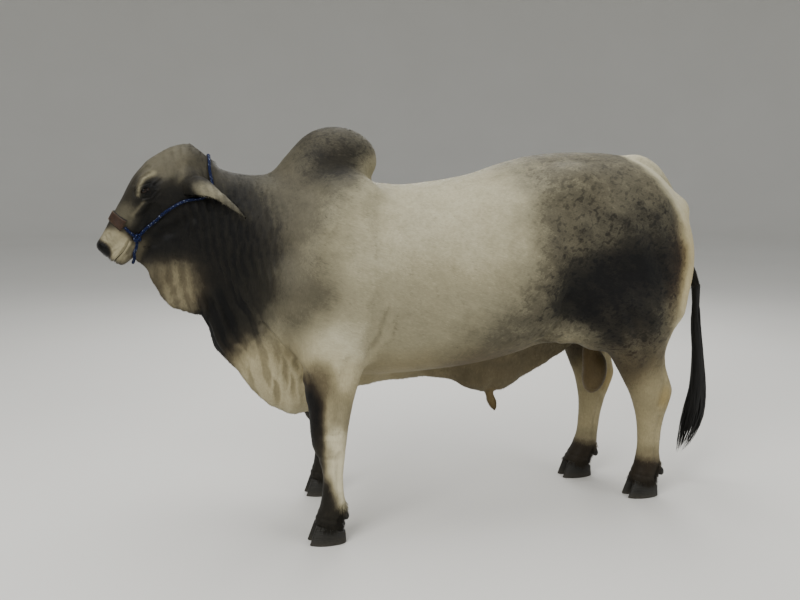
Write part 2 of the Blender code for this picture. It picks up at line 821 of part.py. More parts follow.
def part_lips(skin):
    """Cuts the line of the mouth, a wedge round the muzzle from corner to corner."""
    turn = np.linspace(-0.5 * math.pi, 0.5 * math.pi, 17)
    back = 0.066 - 0.004 * np.cos(turn)
    outer = (0.415 + 0.135 * np.cos(turn), 0.088 * np.sin(turn), 0.0032)
    inner = (0.415 + 0.090 * np.cos(turn), 0.054 * np.sin(turn), 0.0005)
    rings = []
    for k, level in enumerate(back):
        corners = []
        for (down, across, half), signs in ((outer, (-1, 1)), (inner, (1, -1))):
            corners += [head_place(down[k], across[k], level + sign * half) for sign in signs]
        rings.append(corners)
    bm = bmesh.new()
    add_rings(bm, rings)
    cut(skin, from_bmesh("mouth", bm))


def coronet_block(foot, above):
    """A block that ends at a foot's coronet, a plane that slopes down to the heels."""
    size = (0.32, 0.13, 0.20)
    bm = bmesh.new()
    bmesh.ops.create_cube(bm, size=1.0)
    bmesh.ops.transform(bm, matrix=Matrix.Diagonal((*size, 1.0)), verts=bm.verts)
    rise = 0.5 * size[2] if above else -0.5 * size[2] + GAP
    plane = Matrix.Translation((foot[0], foot[1], CORONET_HEIGHT)) @ Matrix.Rotation(CORONET_SLOPE, 4, "Y")
    bmesh.ops.transform(bm, matrix=plane @ Matrix.Translation((0.0, 0.0, rise)), verts=bm.verts)
    return from_bmesh("coronet", bm)


def feet():
    """Each foot's name with the place under the middle of its coronet."""
    fore = -0.014
    hind = 1.447
    return {
        "fore_left": (fore, -FORE_SPREAD),
        "fore_right": (fore + FAR_FORE_SHIFT * 0.92, FORE_SPREAD),
        "hind_left": (hind, -HIND_SPREAD),
        "hind_right": (hind + FAR_HIND_SHIFT * 0.92, HIND_SPREAD),
    }


def cut_coronets(skin):
    """Ends each leg at its coronet."""
    for foot in feet().values():
        cut(skin, coronet_block(foot, above=False))


def claw(name, foot, side):
    """One claw of a foot: a wall that slopes to the toe, a flat sole and a straight inner side."""
    turn = np.linspace(0, 2 * math.pi, 18, endpoint=False)
    rings = []
    for level in (0.0, 0.005, 0.045, 0.110):
        share = level / 0.070
        edge = 0.004 if level == 0.0 else 0.0
        toe = -0.084 + 0.026 * share + edge
        heel = 0.064 - 0.004 * share - edge
        half = CLAW_HALF_WIDTH + 0.0025 * (1 - share) - edge / 2
        along = (toe + heel) / 2 + (heel - toe) / 2 * np.sign(np.cos(turn)) * np.abs(np.cos(turn)) ** 0.85
        taper = 1 - 0.42 * np.clip((-0.015 - along) / 0.07, 0, 1) ** 1.6
        across = CLEFT / 2 + half + half * taper * np.sin(turn)
        across = np.maximum(across, CLEFT / 2 + 0.05 * np.clip(-0.02 - along, 0, 1))
        rings.append(np.stack((foot[0] + along, foot[1] + side * across, np.full_like(along, level)), 1))
    bm = bmesh.new()
    add_rings(bm, rings)
    item = from_bmesh(name, bm)
    return largest(cut(item, coronet_block(foot, above=True)))


def make_claws():
    """Two claws to each foot, the outer and the inner one."""
    for foot_name, foot in feet().items():
        out = -1 if foot[1] < 0 else 1
        claw(f"claw_{foot_name}_outer", foot, out)
        claw(f"claw_{foot_name}_inner", foot, -out)


def make_dewclaws(skin):
    """Two dewclaws behind each fetlock."""
    for foot_name, foot in feet().items():
        out = -1 if foot[1] < 0 else 1
        heel = 0.062 if "fore" in foot_name else 0.078
        if foot_name == "hind_right":
            heel += 0.008
        for word, side in (("outer", out), ("inner", -out)):
            dewclaw = ball(f"dewclaw_{foot_name}_{word}", (0.0, 0.0, 0.0), (0.015, 0.012, 0.021), 10, 6)
            dewclaw.data.transform(Matrix.Rotation(math.radians(-20), 4, "Y"))
            place = (foot[0] + heel, foot[1] + side * 0.023, DEWCLAW_HEIGHT)
            dewclaw.data.transform(Matrix.Translation(place))
            seat(dewclaw, skin)


def make_ear(skin, name, side):
    """A long drooping ear: a leaf, curled to a tube at its root, that leans out, back and down."""
    root = np.array(head_place(0.092, side * 0.074, 0.088))
    bend = np.array((-0.414, side * 0.198, 1.385))
    tip = np.array((-0.308, side * 0.222, 1.296))
    rings = []
    for share in np.linspace(0, 1, 11):
        middle = (1 - share) ** 2 * root + 2 * share * (1 - share) * bend + share**2 * tip
        ahead = 2 * (1 - share) * (bend - root) + 2 * share * (tip - bend)
        ahead /= np.linalg.norm(ahead)
        back = np.array((0.25, side * 0.50, 0.83))
        back -= back.dot(ahead) * ahead
        back /= np.linalg.norm(back)
        width = np.cross(ahead, back)
        swell = math.sin(math.pi * min(1, share * 1.7 + 0.1))
        half = 0.050 * (0.66 + 0.34 * swell) * (1 - share**1.9) + 0.003
        curl = 2.3 - 1.5 * min(1, share * 1.7)
        radius = half / math.sin(min(curl, math.pi / 2))
        wall = 0.0058 - 0.0018 * share
        turns = np.linspace(-curl, curl, 8)
        sunk = middle - 0.4 * radius * back
        thin = max(radius - wall, 0.2 * radius)
        outer = [sunk + radius * (math.sin(a) * width + math.cos(a) * back) for a in turns]
        inner = [sunk + thin * (math.sin(a) * width + math.cos(a) * back) for a in turns]
        rings.append(outer + inner[::-1])
    bm = bmesh.new()
    add_rings(bm, rings)
    return seat(from_bmesh(name, bm), skin)


def tail_line():
    """Points down the tail's middle, with its half-width and half-depth there."""
    table = np.array(TAIL)
    steps = np.linalg.norm(np.diff(table[:, :2], axis=0), axis=1)
    reach = np.concatenate(([0.0], np.cumsum(steps)))
    even = np.linspace(0, reach[-1], 19)
    return np.stack([curve(even, reach, table[:, k]) for k in range(4)], 1)


def make_tail(skin):
    """The tail, from its head along the rump and down to where the long hair starts."""
    line = tail_line()
    ahead = np.gradient(line[:, :2], axis=0)
    ahead[-1] = (0.0, -1.0)
    ahead /= np.linalg.norm(ahead, axis=1, keepdims=True)
    turn = np.linspace(0, 2 * math.pi, 10, endpoint=False)
    rings = []
    for (x, z, half, depth), (run, rise) in zip(line, ahead):
        outward = depth * np.cos(turn)
        rings.append(np.stack((x - rise * outward, half * np.sin(turn), z + run * outward), 1))
    bm = bmesh.new()
    add_rings(bm, rings)
    return seat(from_bmesh("tail", bm), skin)


def switch_section(height):
    """The middle and half-width of the tail's long hair at a height."""
    heights = (0.10, 0.19, 0.30, 0.45, 0.62, 0.72, SWITCH_TOP)
    middles = (1.722, 1.765, 1.797, 1.814, 1.802, 1.788, 1.772)
    halves = (0.010, 0.046, 0.060, 0.045, 0.032, 0.030, 0.019)
    return curve(height, heights, middles), curve(height, heights, halves)


def switch_core():
    """The end of the tail's flesh inside the long hair."""
    turn = np.linspace(0, 2 * math.pi, 8, endpoint=False)
    rings = []
    for height in np.linspace(SWITCH_TOP - GAP, SWITCH_CORE_END, 6):
        middle, _ = switch_section(height)
        radius = 0.008 + 0.012 * (height - SWITCH_CORE_END) / (SWITCH_TOP - SWITCH_CORE_END)
        ring = (middle + radius * np.cos(turn), radius * np.sin(turn), np.full_like(turn, height))
        rings.append(np.stack(ring, 1))
    bm = bmesh.new()
    add_rings(bm, rings)
    return from_bmesh("core", bm)


def switch_lock(number, chance):
    """A flat, tapered lock, rooted in the core, that swings out and down along the switch."""
    angle = number * 2.4 + chance.uniform(-0.2, 0.2)
    start = 0.905 - 0.30 * (number / LOCK_COUNT) ** 1.2
    end = chance.uniform(0.12, 0.20) if number % 3 else chance.uniform(0.24, 0.42)
    share = 0.45 + 0.45 * chance.random()
    rings = []
    for step in np.linspace(0, 1, 6):
        height = start + (end - start) * step
        middle, spread = switch_section(height)
        out = (spread * share - 0.006) * min(1.0, step * 3.0)
        turned = angle + 0.35 * math.sin(3.0 * step + number)
        outward = np.array((math.cos(turned), 0.85 * math.sin(turned), 0.0))
        sideways = np.array((-math.sin(turned), math.cos(turned), 0.0))
        place = np.array((middle, 0.0, height)) + out * outward
        size = math.sin(math.pi * min(1.0, 0.30 + 0.70 * step)) ** 0.8 + 0.08
        half = LOCK_WIDTH / 2 * size
        thick = LOCK_THICKNESS / 2 * size
        ring = []
        for turn in np.linspace(0, 2 * math.pi, 5, endpoint=False):
            ring.append(place + half * math.cos(turn) * sideways + thick * math.sin(turn) * outward)
        rings.append(ring)
    bm = bmesh.new()
    add_rings(bm, rings)
    return from_bmesh("lock", bm)


def unite(item, pieces):
    """Joins closed pieces to an object with one Boolean, and removes them."""
    group = bpy.data.collections.new("pieces")
    for piece in pieces:
        group.objects.link(piece)
    solve(item, "UNION", None, group)
    for piece in pieces:
        bpy.data.objects.remove(piece)
    bpy.data.collections.remove(group)
    return largest(item)


def make_switch():
    """The long hair at the tail's end: flat locks over a core."""
    chance = np.random.default_rng(4)
    core = switch_core()
    core.name = "tail_switch"
    return unite(core, [switch_lock(number, chance) for number in range(LOCK_COUNT)])


def on_skin(masses, route, lift):
    """Points of a route in the head's directions, settled at a height above the skin."""
    places = np.stack(head_place(*np.array(route).T), 1)
    reach = np.concatenate(([0.0], np.cumsum(np.linalg.norm(np.diff(places, axis=0), axis=1))))
    even = np.linspace(0, reach[-1], max(3, round(reach[-1] / 0.042)))
    smooth = np.stack([curve(even, reach, places[:, k]) for k in range(3)], 1)
    return settle(masses, smooth, lift)


def rope(name, points):
    """A rope along the points, as a curve with a round bevel and closed ends."""
    data = bpy.data.curves.new(name, "CURVE")
    data.dimensions = "3D"
    data.bevel_depth = ROPE_RADIUS
    data.bevel_resolution = 2
    data.use_fill_caps = True
    spline = data.splines.new("POLY")
    spline.points.add(len(points) - 1)
    for target, point in zip(spline.points, points):
        target.co = (*point, 1.0)
    return mesh_of_curve(name, data)


def mesh_of_curve(name, data):
    """The mesh of a curve, as an object with the same name."""
    source = link("line", data)
    bpy.context.view_layer.update()
    evaluated = source.evaluated_get(bpy.context.evaluated_depsgraph_get())
    mesh = bpy.data.meshes.new_from_object(evaluated)
    bpy.data.objects.remove(source)
    return face_outwards(link(name, mesh))


def mirrored(route):
    """A route from the left side, over the middle and down the right side."""
    return list(route) + [(down, -across, back) for down, across, back in reversed(route)]


def make_noseband(masses, skin):
    """The leather strap over the nose."""
    turn = np.radians(np.linspace(-82, 82, 13))
    rings = []
    lines = []
    for offset in (-STRAP_WIDTH / 2, 0.0, STRAP_WIDTH / 2):
        route = np.stack(head_place(0.386 + offset, 0.090 * np.sin(turn), 0.022 - 0.085 * np.cos(turn)), 1)
        lines.append((settle(masses, route, -0.001), settle(masses, route, STRAP_THICKNESS)))
    for k in range(len(turn)):
        rings.append([line[1][k] for line in lines] + [line[0][k] for line in reversed(lines)])
    bm = bmesh.new()
    add_rings(bm, rings)
    return seat(from_bmesh("halter_noseband", bm), skin)


def make_halter(masses, skin, ears):
    """The halter: a leather noseband, a knot on each side, and ropes to them over nape, cheeks and chin."""
    lift = ROPE_RADIUS - 0.0012
    band = make_noseband(masses, skin)
    junction = (0.388, -0.072, 0.079)
    knot_radii = (KNOT_RADIUS, KNOT_RADIUS, KNOT_RADIUS * 1.2)
    knots = []
    for word, side in (("left", -1), ("right", 1)):
        place = np.array([head_place(junction[0], -side * junction[1], junction[2])])
        place = settle(masses, place, KNOT_RADIUS * 0.6)[0]
        knots.append(seat(ball(f"halter_knot_{word}", place, knot_radii, 10, 7), skin))
        nose_end = (junction[0], side * 0.072, junction[2])
        nose_route = ((0.386, side * 0.090, 0.020), (0.387, side * 0.082, 0.050), nose_end)
        link_rope = rope(f"halter_rope_nose_{word}", on_skin(masses, nose_route, lift))
        for base in (skin, band, knots[-1]):
            seat(link_rope, base)
    cheek = (junction, (0.318, -0.085, 0.082), (0.262, -0.098, 0.092), (0.205, -0.108, 0.106))
    cheek += ((0.160, -0.118, 0.128),)
    nape = ((0.110, -0.118, 0.170), (0.048, -0.112, 0.160), (0.010, -0.084, 0.116), (-0.010, -0.040, 0.090))
    chin = (junction, (0.418, -0.062, 0.100), (0.446, -0.045, 0.110), (0.462, -0.020, 0.116))
    for name, route in (("halter_headstall", cheek + nape), ("halter_rope_chin", chin)):
        line = rope(name, on_skin(masses, mirrored(route), lift))
        for base in (skin, *knots):
            seat(line, base, 1.5 * GAP)
        for ear in ears:
            seat(line, ear, 5 * GAP)


def thin_along(points):
    """The two sides of a line of points, one gap apart."""
    line = np.array(points, float)
    along = np.gradient(line, axis=0)
    along /= np.linalg.norm(along, axis=1, keepdims=True)
    aside = np.stack((-along[:, 1], along[:, 0]), 1) * GAP / 2
    return line + aside, line - aside


def sheet(name, profile):
    """A thin cutter through the whole body: a line of x and z points, drawn out across."""
    rings = []
    for upper, lower in zip(*thin_along(profile)):
        ends = ((-WIDE, upper), (WIDE, upper), (WIDE, lower), (-WIDE, lower))
        rings.append([(x, y, z) for y, (x, z) in ends])
    bm = bmesh.new()
    add_rings(bm, rings)
    return from_bmesh(name, bm)


def shell(name, outline, low, high):
    """A thin closed cutter round a region: an outline of x and z points, between two sides."""
    bm = bmesh.new()
    add_rings(bm, [[(x, y, z) for x, z in outline] for y in (low, high)])
    item = from_bmesh(name, bm)
    wall = item.modifiers.new("wall", "SOLIDIFY")
    wall.thickness = GAP
    wall.offset = 0.0
    return apply_modifiers(item)


def part_folds(skin):
    """Parts the hump, the dewlap, the sheath and the scrotum from the body."""
    hump_line = ((-0.270, 1.520), (-0.205, 1.454), (-0.100, 1.446), (0.020, 1.446), (0.285, 1.441))
    take(skin, "hump", sheet("hump_base", hump_line), (0.05, 0.0, 1.53))
    dewlap = ((-0.80, 1.120), (-0.705, 1.132), (-0.600, 1.075), (-0.470, 0.975), (-0.370, 0.820))
    dewlap += ((-0.250, 0.700), (-0.110, 0.625), (0.120, 0.600), (0.120, 0.350), (-0.80, 0.350))
    take(skin, "dewlap", shell("dewlap_cut", dewlap, -0.117, 0.117), (-0.30, 0.0, 0.80))
    sheath = ((0.480, 0.350), (0.480, 0.600), (0.620, 0.612), (0.800, 0.640), (0.950, 0.672))
    sheath += ((1.080, 0.705), (1.120, 0.350))
    take(skin, "sheath", shell("sheath_cut", sheath, -0.300, 0.300), (0.78, 0.0, 0.53))
    purse = ((1.150, 0.350), (1.150, 0.680), (1.400, 0.680), (1.400, 0.350))
    take(skin, "scrotum", shell("scrotum_cut", purse, -0.069, 0.069), (1.27, 0.0, 0.55))


def part_legs(skin):
    """Parts each leg from the body, and again at the knee or the hock."""
    fore = ((-0.260, -0.10), (-0.260, 0.735), (0.200, 0.735), (0.200, -0.10))
    hind = ((0.965, -0.10), (0.965, 0.800), (1.750, 0.800), (1.750, -0.10))
    kinds = (("fore", fore, 0.118, KNEE_HEIGHT, 0.0), ("hind", hind, 0.070, HOCK_HEIGHT, 1.4))
    for word, side in (("left", -1), ("right", 1)):
        for kind, outline, inner, joint, x in kinds:
            low, high = sorted((side * inner, side * WIDE))
            cutter = shell("leg_cut", outline, low, high)
            leg = take(skin, f"{kind}leg_{word}_upper", cutter, (x, side * 0.25, 0.42))
            line = ((x - 0.45, joint), (x + 0.45, joint))
            take(leg, f"{kind}leg_{word}_lower", sheet("joint", line), (x, side * 0.25, joint / 2))


def part_trunk(skin):
    """Parts head, neck, chest and barrel from the hindquarters."""
    nape = ((-0.400, 1.60), (-0.455, 1.48), (-0.660, 1.155), (-0.720, 1.03))
    withers = ((-0.120, 1.80), (-0.215, 1.44), (-0.255, 1.00), (-0.300, 0.78), (-0.330, 0.40))
    chest = ((0.325, 1.60), (0.300, 1.00), (0.300, 0.40))
    flank = ((0.940, 1.70), (0.960, 1.10), (0.930, 0.80), (0.930, 0.40))
    take(skin, "head", sheet("nape", nape), (-0.68, 0.0, 1.33))
    take(skin, "neck", sheet("withers", withers), (-0.42, 0.0, 1.20))
    take(skin, "chest", sheet("chest_rear", chest), (0.0, 0.0, 1.02))
    take(skin, "barrel", sheet("flank", flank), (0.62, 0.0, 1.05))
    skin.name = "hindquarters"


def material(name, colour, roughness):
    """A material with one colour and roughness."""
    made = bpy.data.materials.new(name)
    made.use_nodes = True
    shader = made.node_tree.nodes["Principled BSDF"]
    shader.inputs["Base Color"].default_value = (*colour, 1.0)
    shader.inputs["Roughness"].default_value = roughness
    shader.inputs["Metallic"].default_value = 0.0
    return made


def dress():
    """Gives each piece the material of its kind."""
    finishes = (
        ("claw", material("black_horn", (0.020, 0.019, 0.018), 0.45)),
        ("dewclaw", material("black_dewclaw", (0.022, 0.020, 0.019), 0.50)),
        ("eye", material("dark_eye", (0.012, 0.009, 0.007), 0.08)),
        ("halter_noseband", material("brown_leather", (0.130, 0.075, 0.045), 0.55)),
        ("halter", material("blue_rope", (0.035, 0.055, 0.150), 0.75)),
        ("tail_switch", material("black_hair", (0.012, 0.012, 0.013), 0.60)),
        ("scrotum", material("brown_skin", (0.230, 0.120, 0.080), 0.60)),
        ("dewlap", material("cream_hide", (0.480, 0.440, 0.370), 0.75)),
        ("hump", material("charcoal_hide", (0.075, 0.075, 0.080), 0.75)),
        ("neck", material("dark_hide", (0.055, 0.055, 0.058), 0.75)),
        ("head", material("face_hide", (0.080, 0.080, 0.082), 0.75)),
        ("ear", material("pale_ear", (0.300, 0.290, 0.270), 0.75)),
        ("", material("grey_hide", (0.330, 0.320, 0.300), 0.75)),
    )
    for item in bpy.data.objects:
        finish = next(made for start, made in finishes if item.name.startswith(start))
        item.data.materials.clear()
        item.data.materials.append(finish)
        item.data.shade_smooth()
        item.data.set_sharp_from_angle(angle=math.radians(40))


def centre_on_floor():
    """Parents all pieces to an empty, moved so that the box round the bull is centred on the floor."""
    pieces = list(bpy.data.objects)
    points = np.concatenate([mesh_points(item) for item in pieces])
    low = points.min(0)
    high = points.max(0)
    holder = link("bull", None)
    for item in pieces:
        item.parent = holder
    holder.location = (-(low[0] + high[0]) / 2, -(low[1] + high[1]) / 2, -low[2])


def main():
    clear_scene()
    masses = body_masses()
    skin = whole_skin(masses)
    ears = []
    for word, side in (("left", -1), ("right", 1)):
        ears.append(make_ear(skin, f"ear_{word}", side))
        radii = (EYE_RADIUS, EYE_RADIUS, EYE_RADIUS)
        ball(f"eye_{word}", eye_middle(side), radii)
    make_tail(skin)
    make_switch()
    make_halter(masses, skin, ears)
    make_dewclaws(skin)
    make_claws()
    open_eyes(skin)
    open_nostrils(skin)
    part_lips(skin)
    cut_coronets(skin)
    part_folds(skin)
    part_legs(skin)
    part_trunk(skin)
    dress()
    centre_on_floor()


main()
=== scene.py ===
"""A life-size grey humped bull in a rope halter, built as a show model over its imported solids.

The skin is one closed surface, settled on the same masses as the solids, a coat's depth inside
them. Lengths are metres. The bull faces -X and its left side is -Y.
"""
import logging
import math
from contextlib import contextmanager
from dataclasses import dataclass, field
from enum import Enum
from typing import Callable, Iterator, Sequence

import bmesh
import bpy
import numpy as np
from bpy.types import ID, Material, Mesh, Node, NodeSocket, NodeTree, Object
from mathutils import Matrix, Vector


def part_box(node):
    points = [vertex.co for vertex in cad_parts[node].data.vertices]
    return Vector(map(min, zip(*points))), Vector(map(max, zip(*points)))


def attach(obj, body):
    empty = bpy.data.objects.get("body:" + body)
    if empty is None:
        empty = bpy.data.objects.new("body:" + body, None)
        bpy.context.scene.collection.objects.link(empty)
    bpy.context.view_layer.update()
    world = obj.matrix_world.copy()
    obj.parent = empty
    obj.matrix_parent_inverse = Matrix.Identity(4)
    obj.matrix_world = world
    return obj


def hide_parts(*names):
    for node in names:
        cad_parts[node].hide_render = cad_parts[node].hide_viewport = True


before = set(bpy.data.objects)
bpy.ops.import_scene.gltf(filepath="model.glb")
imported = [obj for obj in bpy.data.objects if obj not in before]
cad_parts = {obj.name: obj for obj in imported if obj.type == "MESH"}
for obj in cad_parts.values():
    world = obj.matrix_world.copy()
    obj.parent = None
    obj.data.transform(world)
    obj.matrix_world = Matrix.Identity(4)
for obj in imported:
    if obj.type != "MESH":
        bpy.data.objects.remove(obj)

LOG = logging.getLogger("bull")
Array = np.ndarray
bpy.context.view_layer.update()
SIDES = (("left", -1), ("right", 1))
BOTH = (-1, 1)

# Odd numbers that scatter the noise, and where its lattice starts
HASHES = (73856093, 19349663, 83492791, 2654435761, 1274126177)
NOISE_SHIFT = 37.7

# The coat's depth, and the finest lengths of the meshes
COAT_DEPTH = 0.0025
VOXEL = 0.0125
MIRROR_BLEND = 0.012
FAR = 1.0

# Where the legs stand and the head hangs
FORE_SPREAD = 0.25
HIND_SPREAD = 0.152
FAR_FORE_SHIFT = 0.070
FAR_HIND_SHIFT = -0.190
FAR_HIND_TOP = 0.90
POLL_X = -0.505
POLL_Z = 1.560
HEAD_PITCH = math.radians(49.7)

# The small parts
EYE_PLACE = (0.226, 0.089, -0.010)
EYE_RADIUS = 0.0215
LID_THICKNESS = 0.0045
ROPE_RADIUS = 0.0055
STRAP_WIDTH = 0.042
STRAP_THICKNESS = 0.0045
KNOT_RADIUS = 0.014
CORONET_HEIGHT = 0.066
CORONET_SLOPE = math.radians(16)
CLAW_HALF_WIDTH = 0.0245
CLEFT = 0.004
DEWCLAW_HEIGHT = 0.112
SWITCH_TOP = 0.93
GAP = 0.0003
SLOPE_STEP = 0.0005
LONGEST_MOVE = 0.02
LID_TILT = math.radians(26)
LID_RADII = (0.0192, 0.0098)

# The trunk's stations: x, top, bottom, half-width, level of the widest point
TRUNK = (
    (-0.20, 1.330, 0.760, 0.150, 1.06),
    (-0.10, 1.385, 0.680, 0.205, 1.06),
    (0.05, 1.415, 0.630, 0.262, 1.05),
    (0.20, 1.418, 0.618, 0.305, 1.02),
    (0.35, 1.406, 0.620, 0.342, 0.99),
    (0.50, 1.420, 0.630, 0.368, 0.97),
    (0.65, 1.446, 0.645, 0.380, 0.98),
    (0.80, 1.492, 0.672, 0.376, 1.02),
    (0.95, 1.526, 0.715, 0.354, 1.10),
    (1.10, 1.537, 0.770, 0.322, 1.18),
    (1.25, 1.534, 0.820, 0.300, 1.20),
    (1.40, 1.505, 0.850, 0.268, 1.18),
    (1.50, 1.455, 0.880, 0.230, 1.14),
    (1.58, 1.370, 0.930, 0.175, 1.13),
    (1.63, 1.270, 1.010, 0.105, 1.13),
    (1.652, 1.190, 1.090, 0.040, 1.14),
)

# The neck's stations: x, crest, underside, half-width, level of the widest point
NECK = (
    (-0.58, 1.480, 1.270, 0.085, 1.38),
    (-0.52, 1.492, 1.190, 0.108, 1.35),
    (-0.46, 1.494, 1.110, 0.122, 1.32),
    (-0.39, 1.478, 1.010, 0.136, 1.27),
    (-0.32, 1.456, 0.920, 0.156, 1.21),
    (-0.24, 1.448, 0.840, 0.184, 1.16),
    (-0.16, 1.450, 0.780, 0.212, 1.12),
    (-0.05, 1.440, 0.740, 0.240, 1.10),
    (0.10, 1.400, 0.740, 0.225, 1.10),
)

# The dewlap's edge from the throat to between the forelegs: x, lowest point, half-thickness, depth
DEWLAP = (
    (-0.705, 1.120, 0.018, 0.05),
    (-0.672, 1.086, 0.021, 0.09),
    (-0.648, 1.028, 0.023, 0.14),
    (-0.622, 0.970, 0.025, 0.20),
    (-0.588, 0.937, 0.027, 0.26),
    (-0.530, 0.911, 0.030, 0.32),
    (-0.480, 0.898, 0.033, 0.34),
    (-0.450, 0.846, 0.037, 0.35),
    (-0.425, 0.762, 0.041, 0.35),
    (-0.380, 0.706, 0.047, 0.34),
    (-0.325, 0.648, 0.055, 0.32),
    (-0.270, 0.572, 0.062, 0.30),
    (-0.190, 0.496, 0.072, 0.28),
    (-0.100, 0.462, 0.080, 0.26),
    (0.000, 0.480, 0.082, 0.25),
    (0.140, 0.560, 0.066, 0.22),
    (0.260, 0.606, 0.044, 0.18),
)

# The fold of skin under the belly, with the sheath: x, lowest point, half-thickness, depth
UNDERLINE = (
    (0.10, 0.562, 0.040, 0.16),
    (0.30, 0.576, 0.030, 0.18),
    (0.45, 0.580, 0.028, 0.20),
    (0.56, 0.564, 0.030, 0.22),
    (0.65, 0.516, 0.037, 0.24),
    (0.73, 0.496, 0.043, 0.25),
    (0.80, 0.498, 0.040, 0.25),
    (0.87, 0.526, 0.031, 0.23),
    (0.97, 0.582, 0.026, 0.21),
    (1.08, 0.636, 0.025, 0.19),
    (1.22, 0.745, 0.036, 0.17),
)

# A foreleg's stations: height, rear, front, half-width
FORELEG = (
    (0.045, 0.040, -0.076, 0.050),
    (0.095, 0.046, -0.070, 0.051),
    (0.150, 0.057, -0.050, 0.051),
    (0.200, 0.048, -0.041, 0.042),
    (0.260, 0.046, -0.037, 0.038),
    (0.330, 0.052, -0.049, 0.047),
    (0.400, 0.063, -0.076, 0.061),
    (0.460, 0.073, -0.082, 0.063),
    (0.550, 0.093, -0.089, 0.066),
    (0.650, 0.122, -0.102, 0.083),
    (0.760, 0.158, -0.120, 0.104),
    (0.900, 0.160, -0.120, 0.090),
    (1.040, 0.110, -0.060, 0.040),
)

# A hind leg's stations: height, rear, front, half-width
HIND_LEG = (
    (0.045, 1.506, 1.378, 0.052),
    (0.095, 1.514, 1.386, 0.054),
    (0.150, 1.528, 1.408, 0.054),
    (0.215, 1.520, 1.416, 0.046),
    (0.290, 1.519, 1.409, 0.043),
    (0.370, 1.526, 1.394, 0.048),
    (0.430, 1.540, 1.374, 0.056),
    (0.490, 1.551, 1.347, 0.060),
    (0.545, 1.532, 1.314, 0.060),
    (0.610, 1.502, 1.274, 0.068),
    (0.680, 1.490, 1.228, 0.090),
    (0.770, 1.512, 1.145, 0.116),
    (0.860, 1.560, 1.085, 0.126),
    (0.980, 1.560, 1.120, 0.100),
    (1.120, 1.480, 1.230, 0.040),
)

# The head's stations, down the face from the poll: station, jaw line, face line, half-width, level
HEAD = (
    (-0.020, 0.120, 0.014, 0.060, 0.060),
    (0.000, 0.150, -0.010, 0.082, 0.060),
    (0.040, 0.178, -0.040, 0.098, 0.050),
    (0.090, 0.196, -0.060, 0.108, 0.035),
    (0.150, 0.200, -0.076, 0.114, 0.012),
    (0.207, 0.192, -0.078, 0.112, -0.004),
    (0.251, 0.172, -0.073, 0.100, -0.002),
    (0.300, 0.148, -0.062, 0.085, 0.010),
    (0.350, 0.128, -0.053, 0.074, 0.020),
    (0.400, 0.114, -0.044, 0.067, 0.028),
    (0.440, 0.108, -0.035, 0.066, 0.030),
    (0.475, 0.105, -0.029, 0.068, 0.030),
    (0.500, 0.100, -0.025, 0.064, 0.032),
    (0.511, 0.093, -0.018, 0.054, 0.034),
    (0.517, 0.080, -0.004, 0.036, 0.036),
)

# The tail's line, x and z down its middle, and its half-width and half-depth
TAIL = (
    (1.340, 1.490, 0.050, 0.030),
    (1.430, 1.500, 0.044, 0.028),
    (1.500, 1.475, 0.038, 0.026),
    (1.570, 1.407, 0.034, 0.025),
    (1.622, 1.320, 0.031, 0.024),
    (1.658, 1.220, 0.028, 0.023),
    (1.690, 1.120, 0.026, 0.022),
    (1.724, 1.030, 0.024, 0.021),
    (1.755, 0.970, 0.022, 0.020),
    (1.770, SWITCH_TOP, 0.021, 0.019),
)


def curve(at: Array, stations: Sequence[float], values: Sequence[float]) -> Array:
    """A smooth line through the stations, a cubic in each span, that never overshoots a value.

    Formula: cubic Hermite spans whose tangent at a station is the weighted harmonic mean of the
    slopes on both sides, or zero where they differ in sign.

    Args:
        at: the places to read.
        stations: rising places of the known values.
        values: the value at each station.

    Returns:
        The value at each place, held flat beyond the first and last station.
    """
    places = np.asarray(stations, float)
    heights = np.asarray(values, float)
    spans = np.diff(places)
    slopes = np.diff(heights) / spans
    tangents = np.zeros_like(heights)
    same = slopes[:-1] * slopes[1:] > 0
    before = (2 * spans[1:] + spans[:-1])[same]
    after = (spans[1:] + 2 * spans[:-1])[same]
    inner = np.zeros_like(slopes[:-1])
    inner[same] = (before + after) / (before / slopes[:-1][same] + after / slopes[1:][same])
    tangents[1:-1] = inner
    tangents[0] = slopes[0]
    tangents[-1] = slopes[-1]
    held = np.clip(at, places[0], places[-1])
    span = np.clip(np.searchsorted(places, held, side="right") - 1, 0, len(spans) - 1)
    width = spans[span]
    step = (held - places[span]) / width
    rest = 1 - step
    start = (1 + 2 * step) * rest * rest * heights[span] + step * rest * rest * width * tangents[span]
    end = step * step * (3 - 2 * step) * heights[span + 1]
    return start + end + step * step * (step - 1) * width * tangents[span + 1]


def smooth(low: float, high: float, value: Array) -> Array:
    """Zero below low, one above high, and the cubic 3t^2 - 2t^3 between them."""
    share = np.clip((value - low) / (high - low), 0, 1)
    return share * share * (3 - 2 * share)


def between(across: Array, span: tuple, edge: float) -> Array:
    """One where the distance from the middle plane lies in a span, faded over its ends."""
    low, high = span
    out = np.abs(across)
    return smooth(low - edge, low + edge, out) * (1 - smooth(high - edge, high + edge, out))


def unit(vectors: Array) -> Array:
    """The vectors at a length of one."""
    return vectors / np.linalg.norm(vectors, axis=-1, keepdims=True)


def reach_along(line: Array) -> Array:
    """How far each point of a line lies along it, from zero."""
    return np.concatenate(([0.0], np.cumsum(np.linalg.norm(np.diff(line, axis=0), axis=1))))


def round_turn(count: int) -> Array:
    """Even angles round a ring, as one row."""
    return np.linspace(0, 2 * math.pi, count, endpoint=False)[None, :]


def tilted(u: Array, w: Array, angle: float) -> tuple[Array, Array]:
    """Two coordinates turned by an angle: cos u - sin w and sin u + cos w."""
    return math.cos(angle) * u - math.sin(angle) * w, math.sin(angle) * u + math.cos(angle) * w


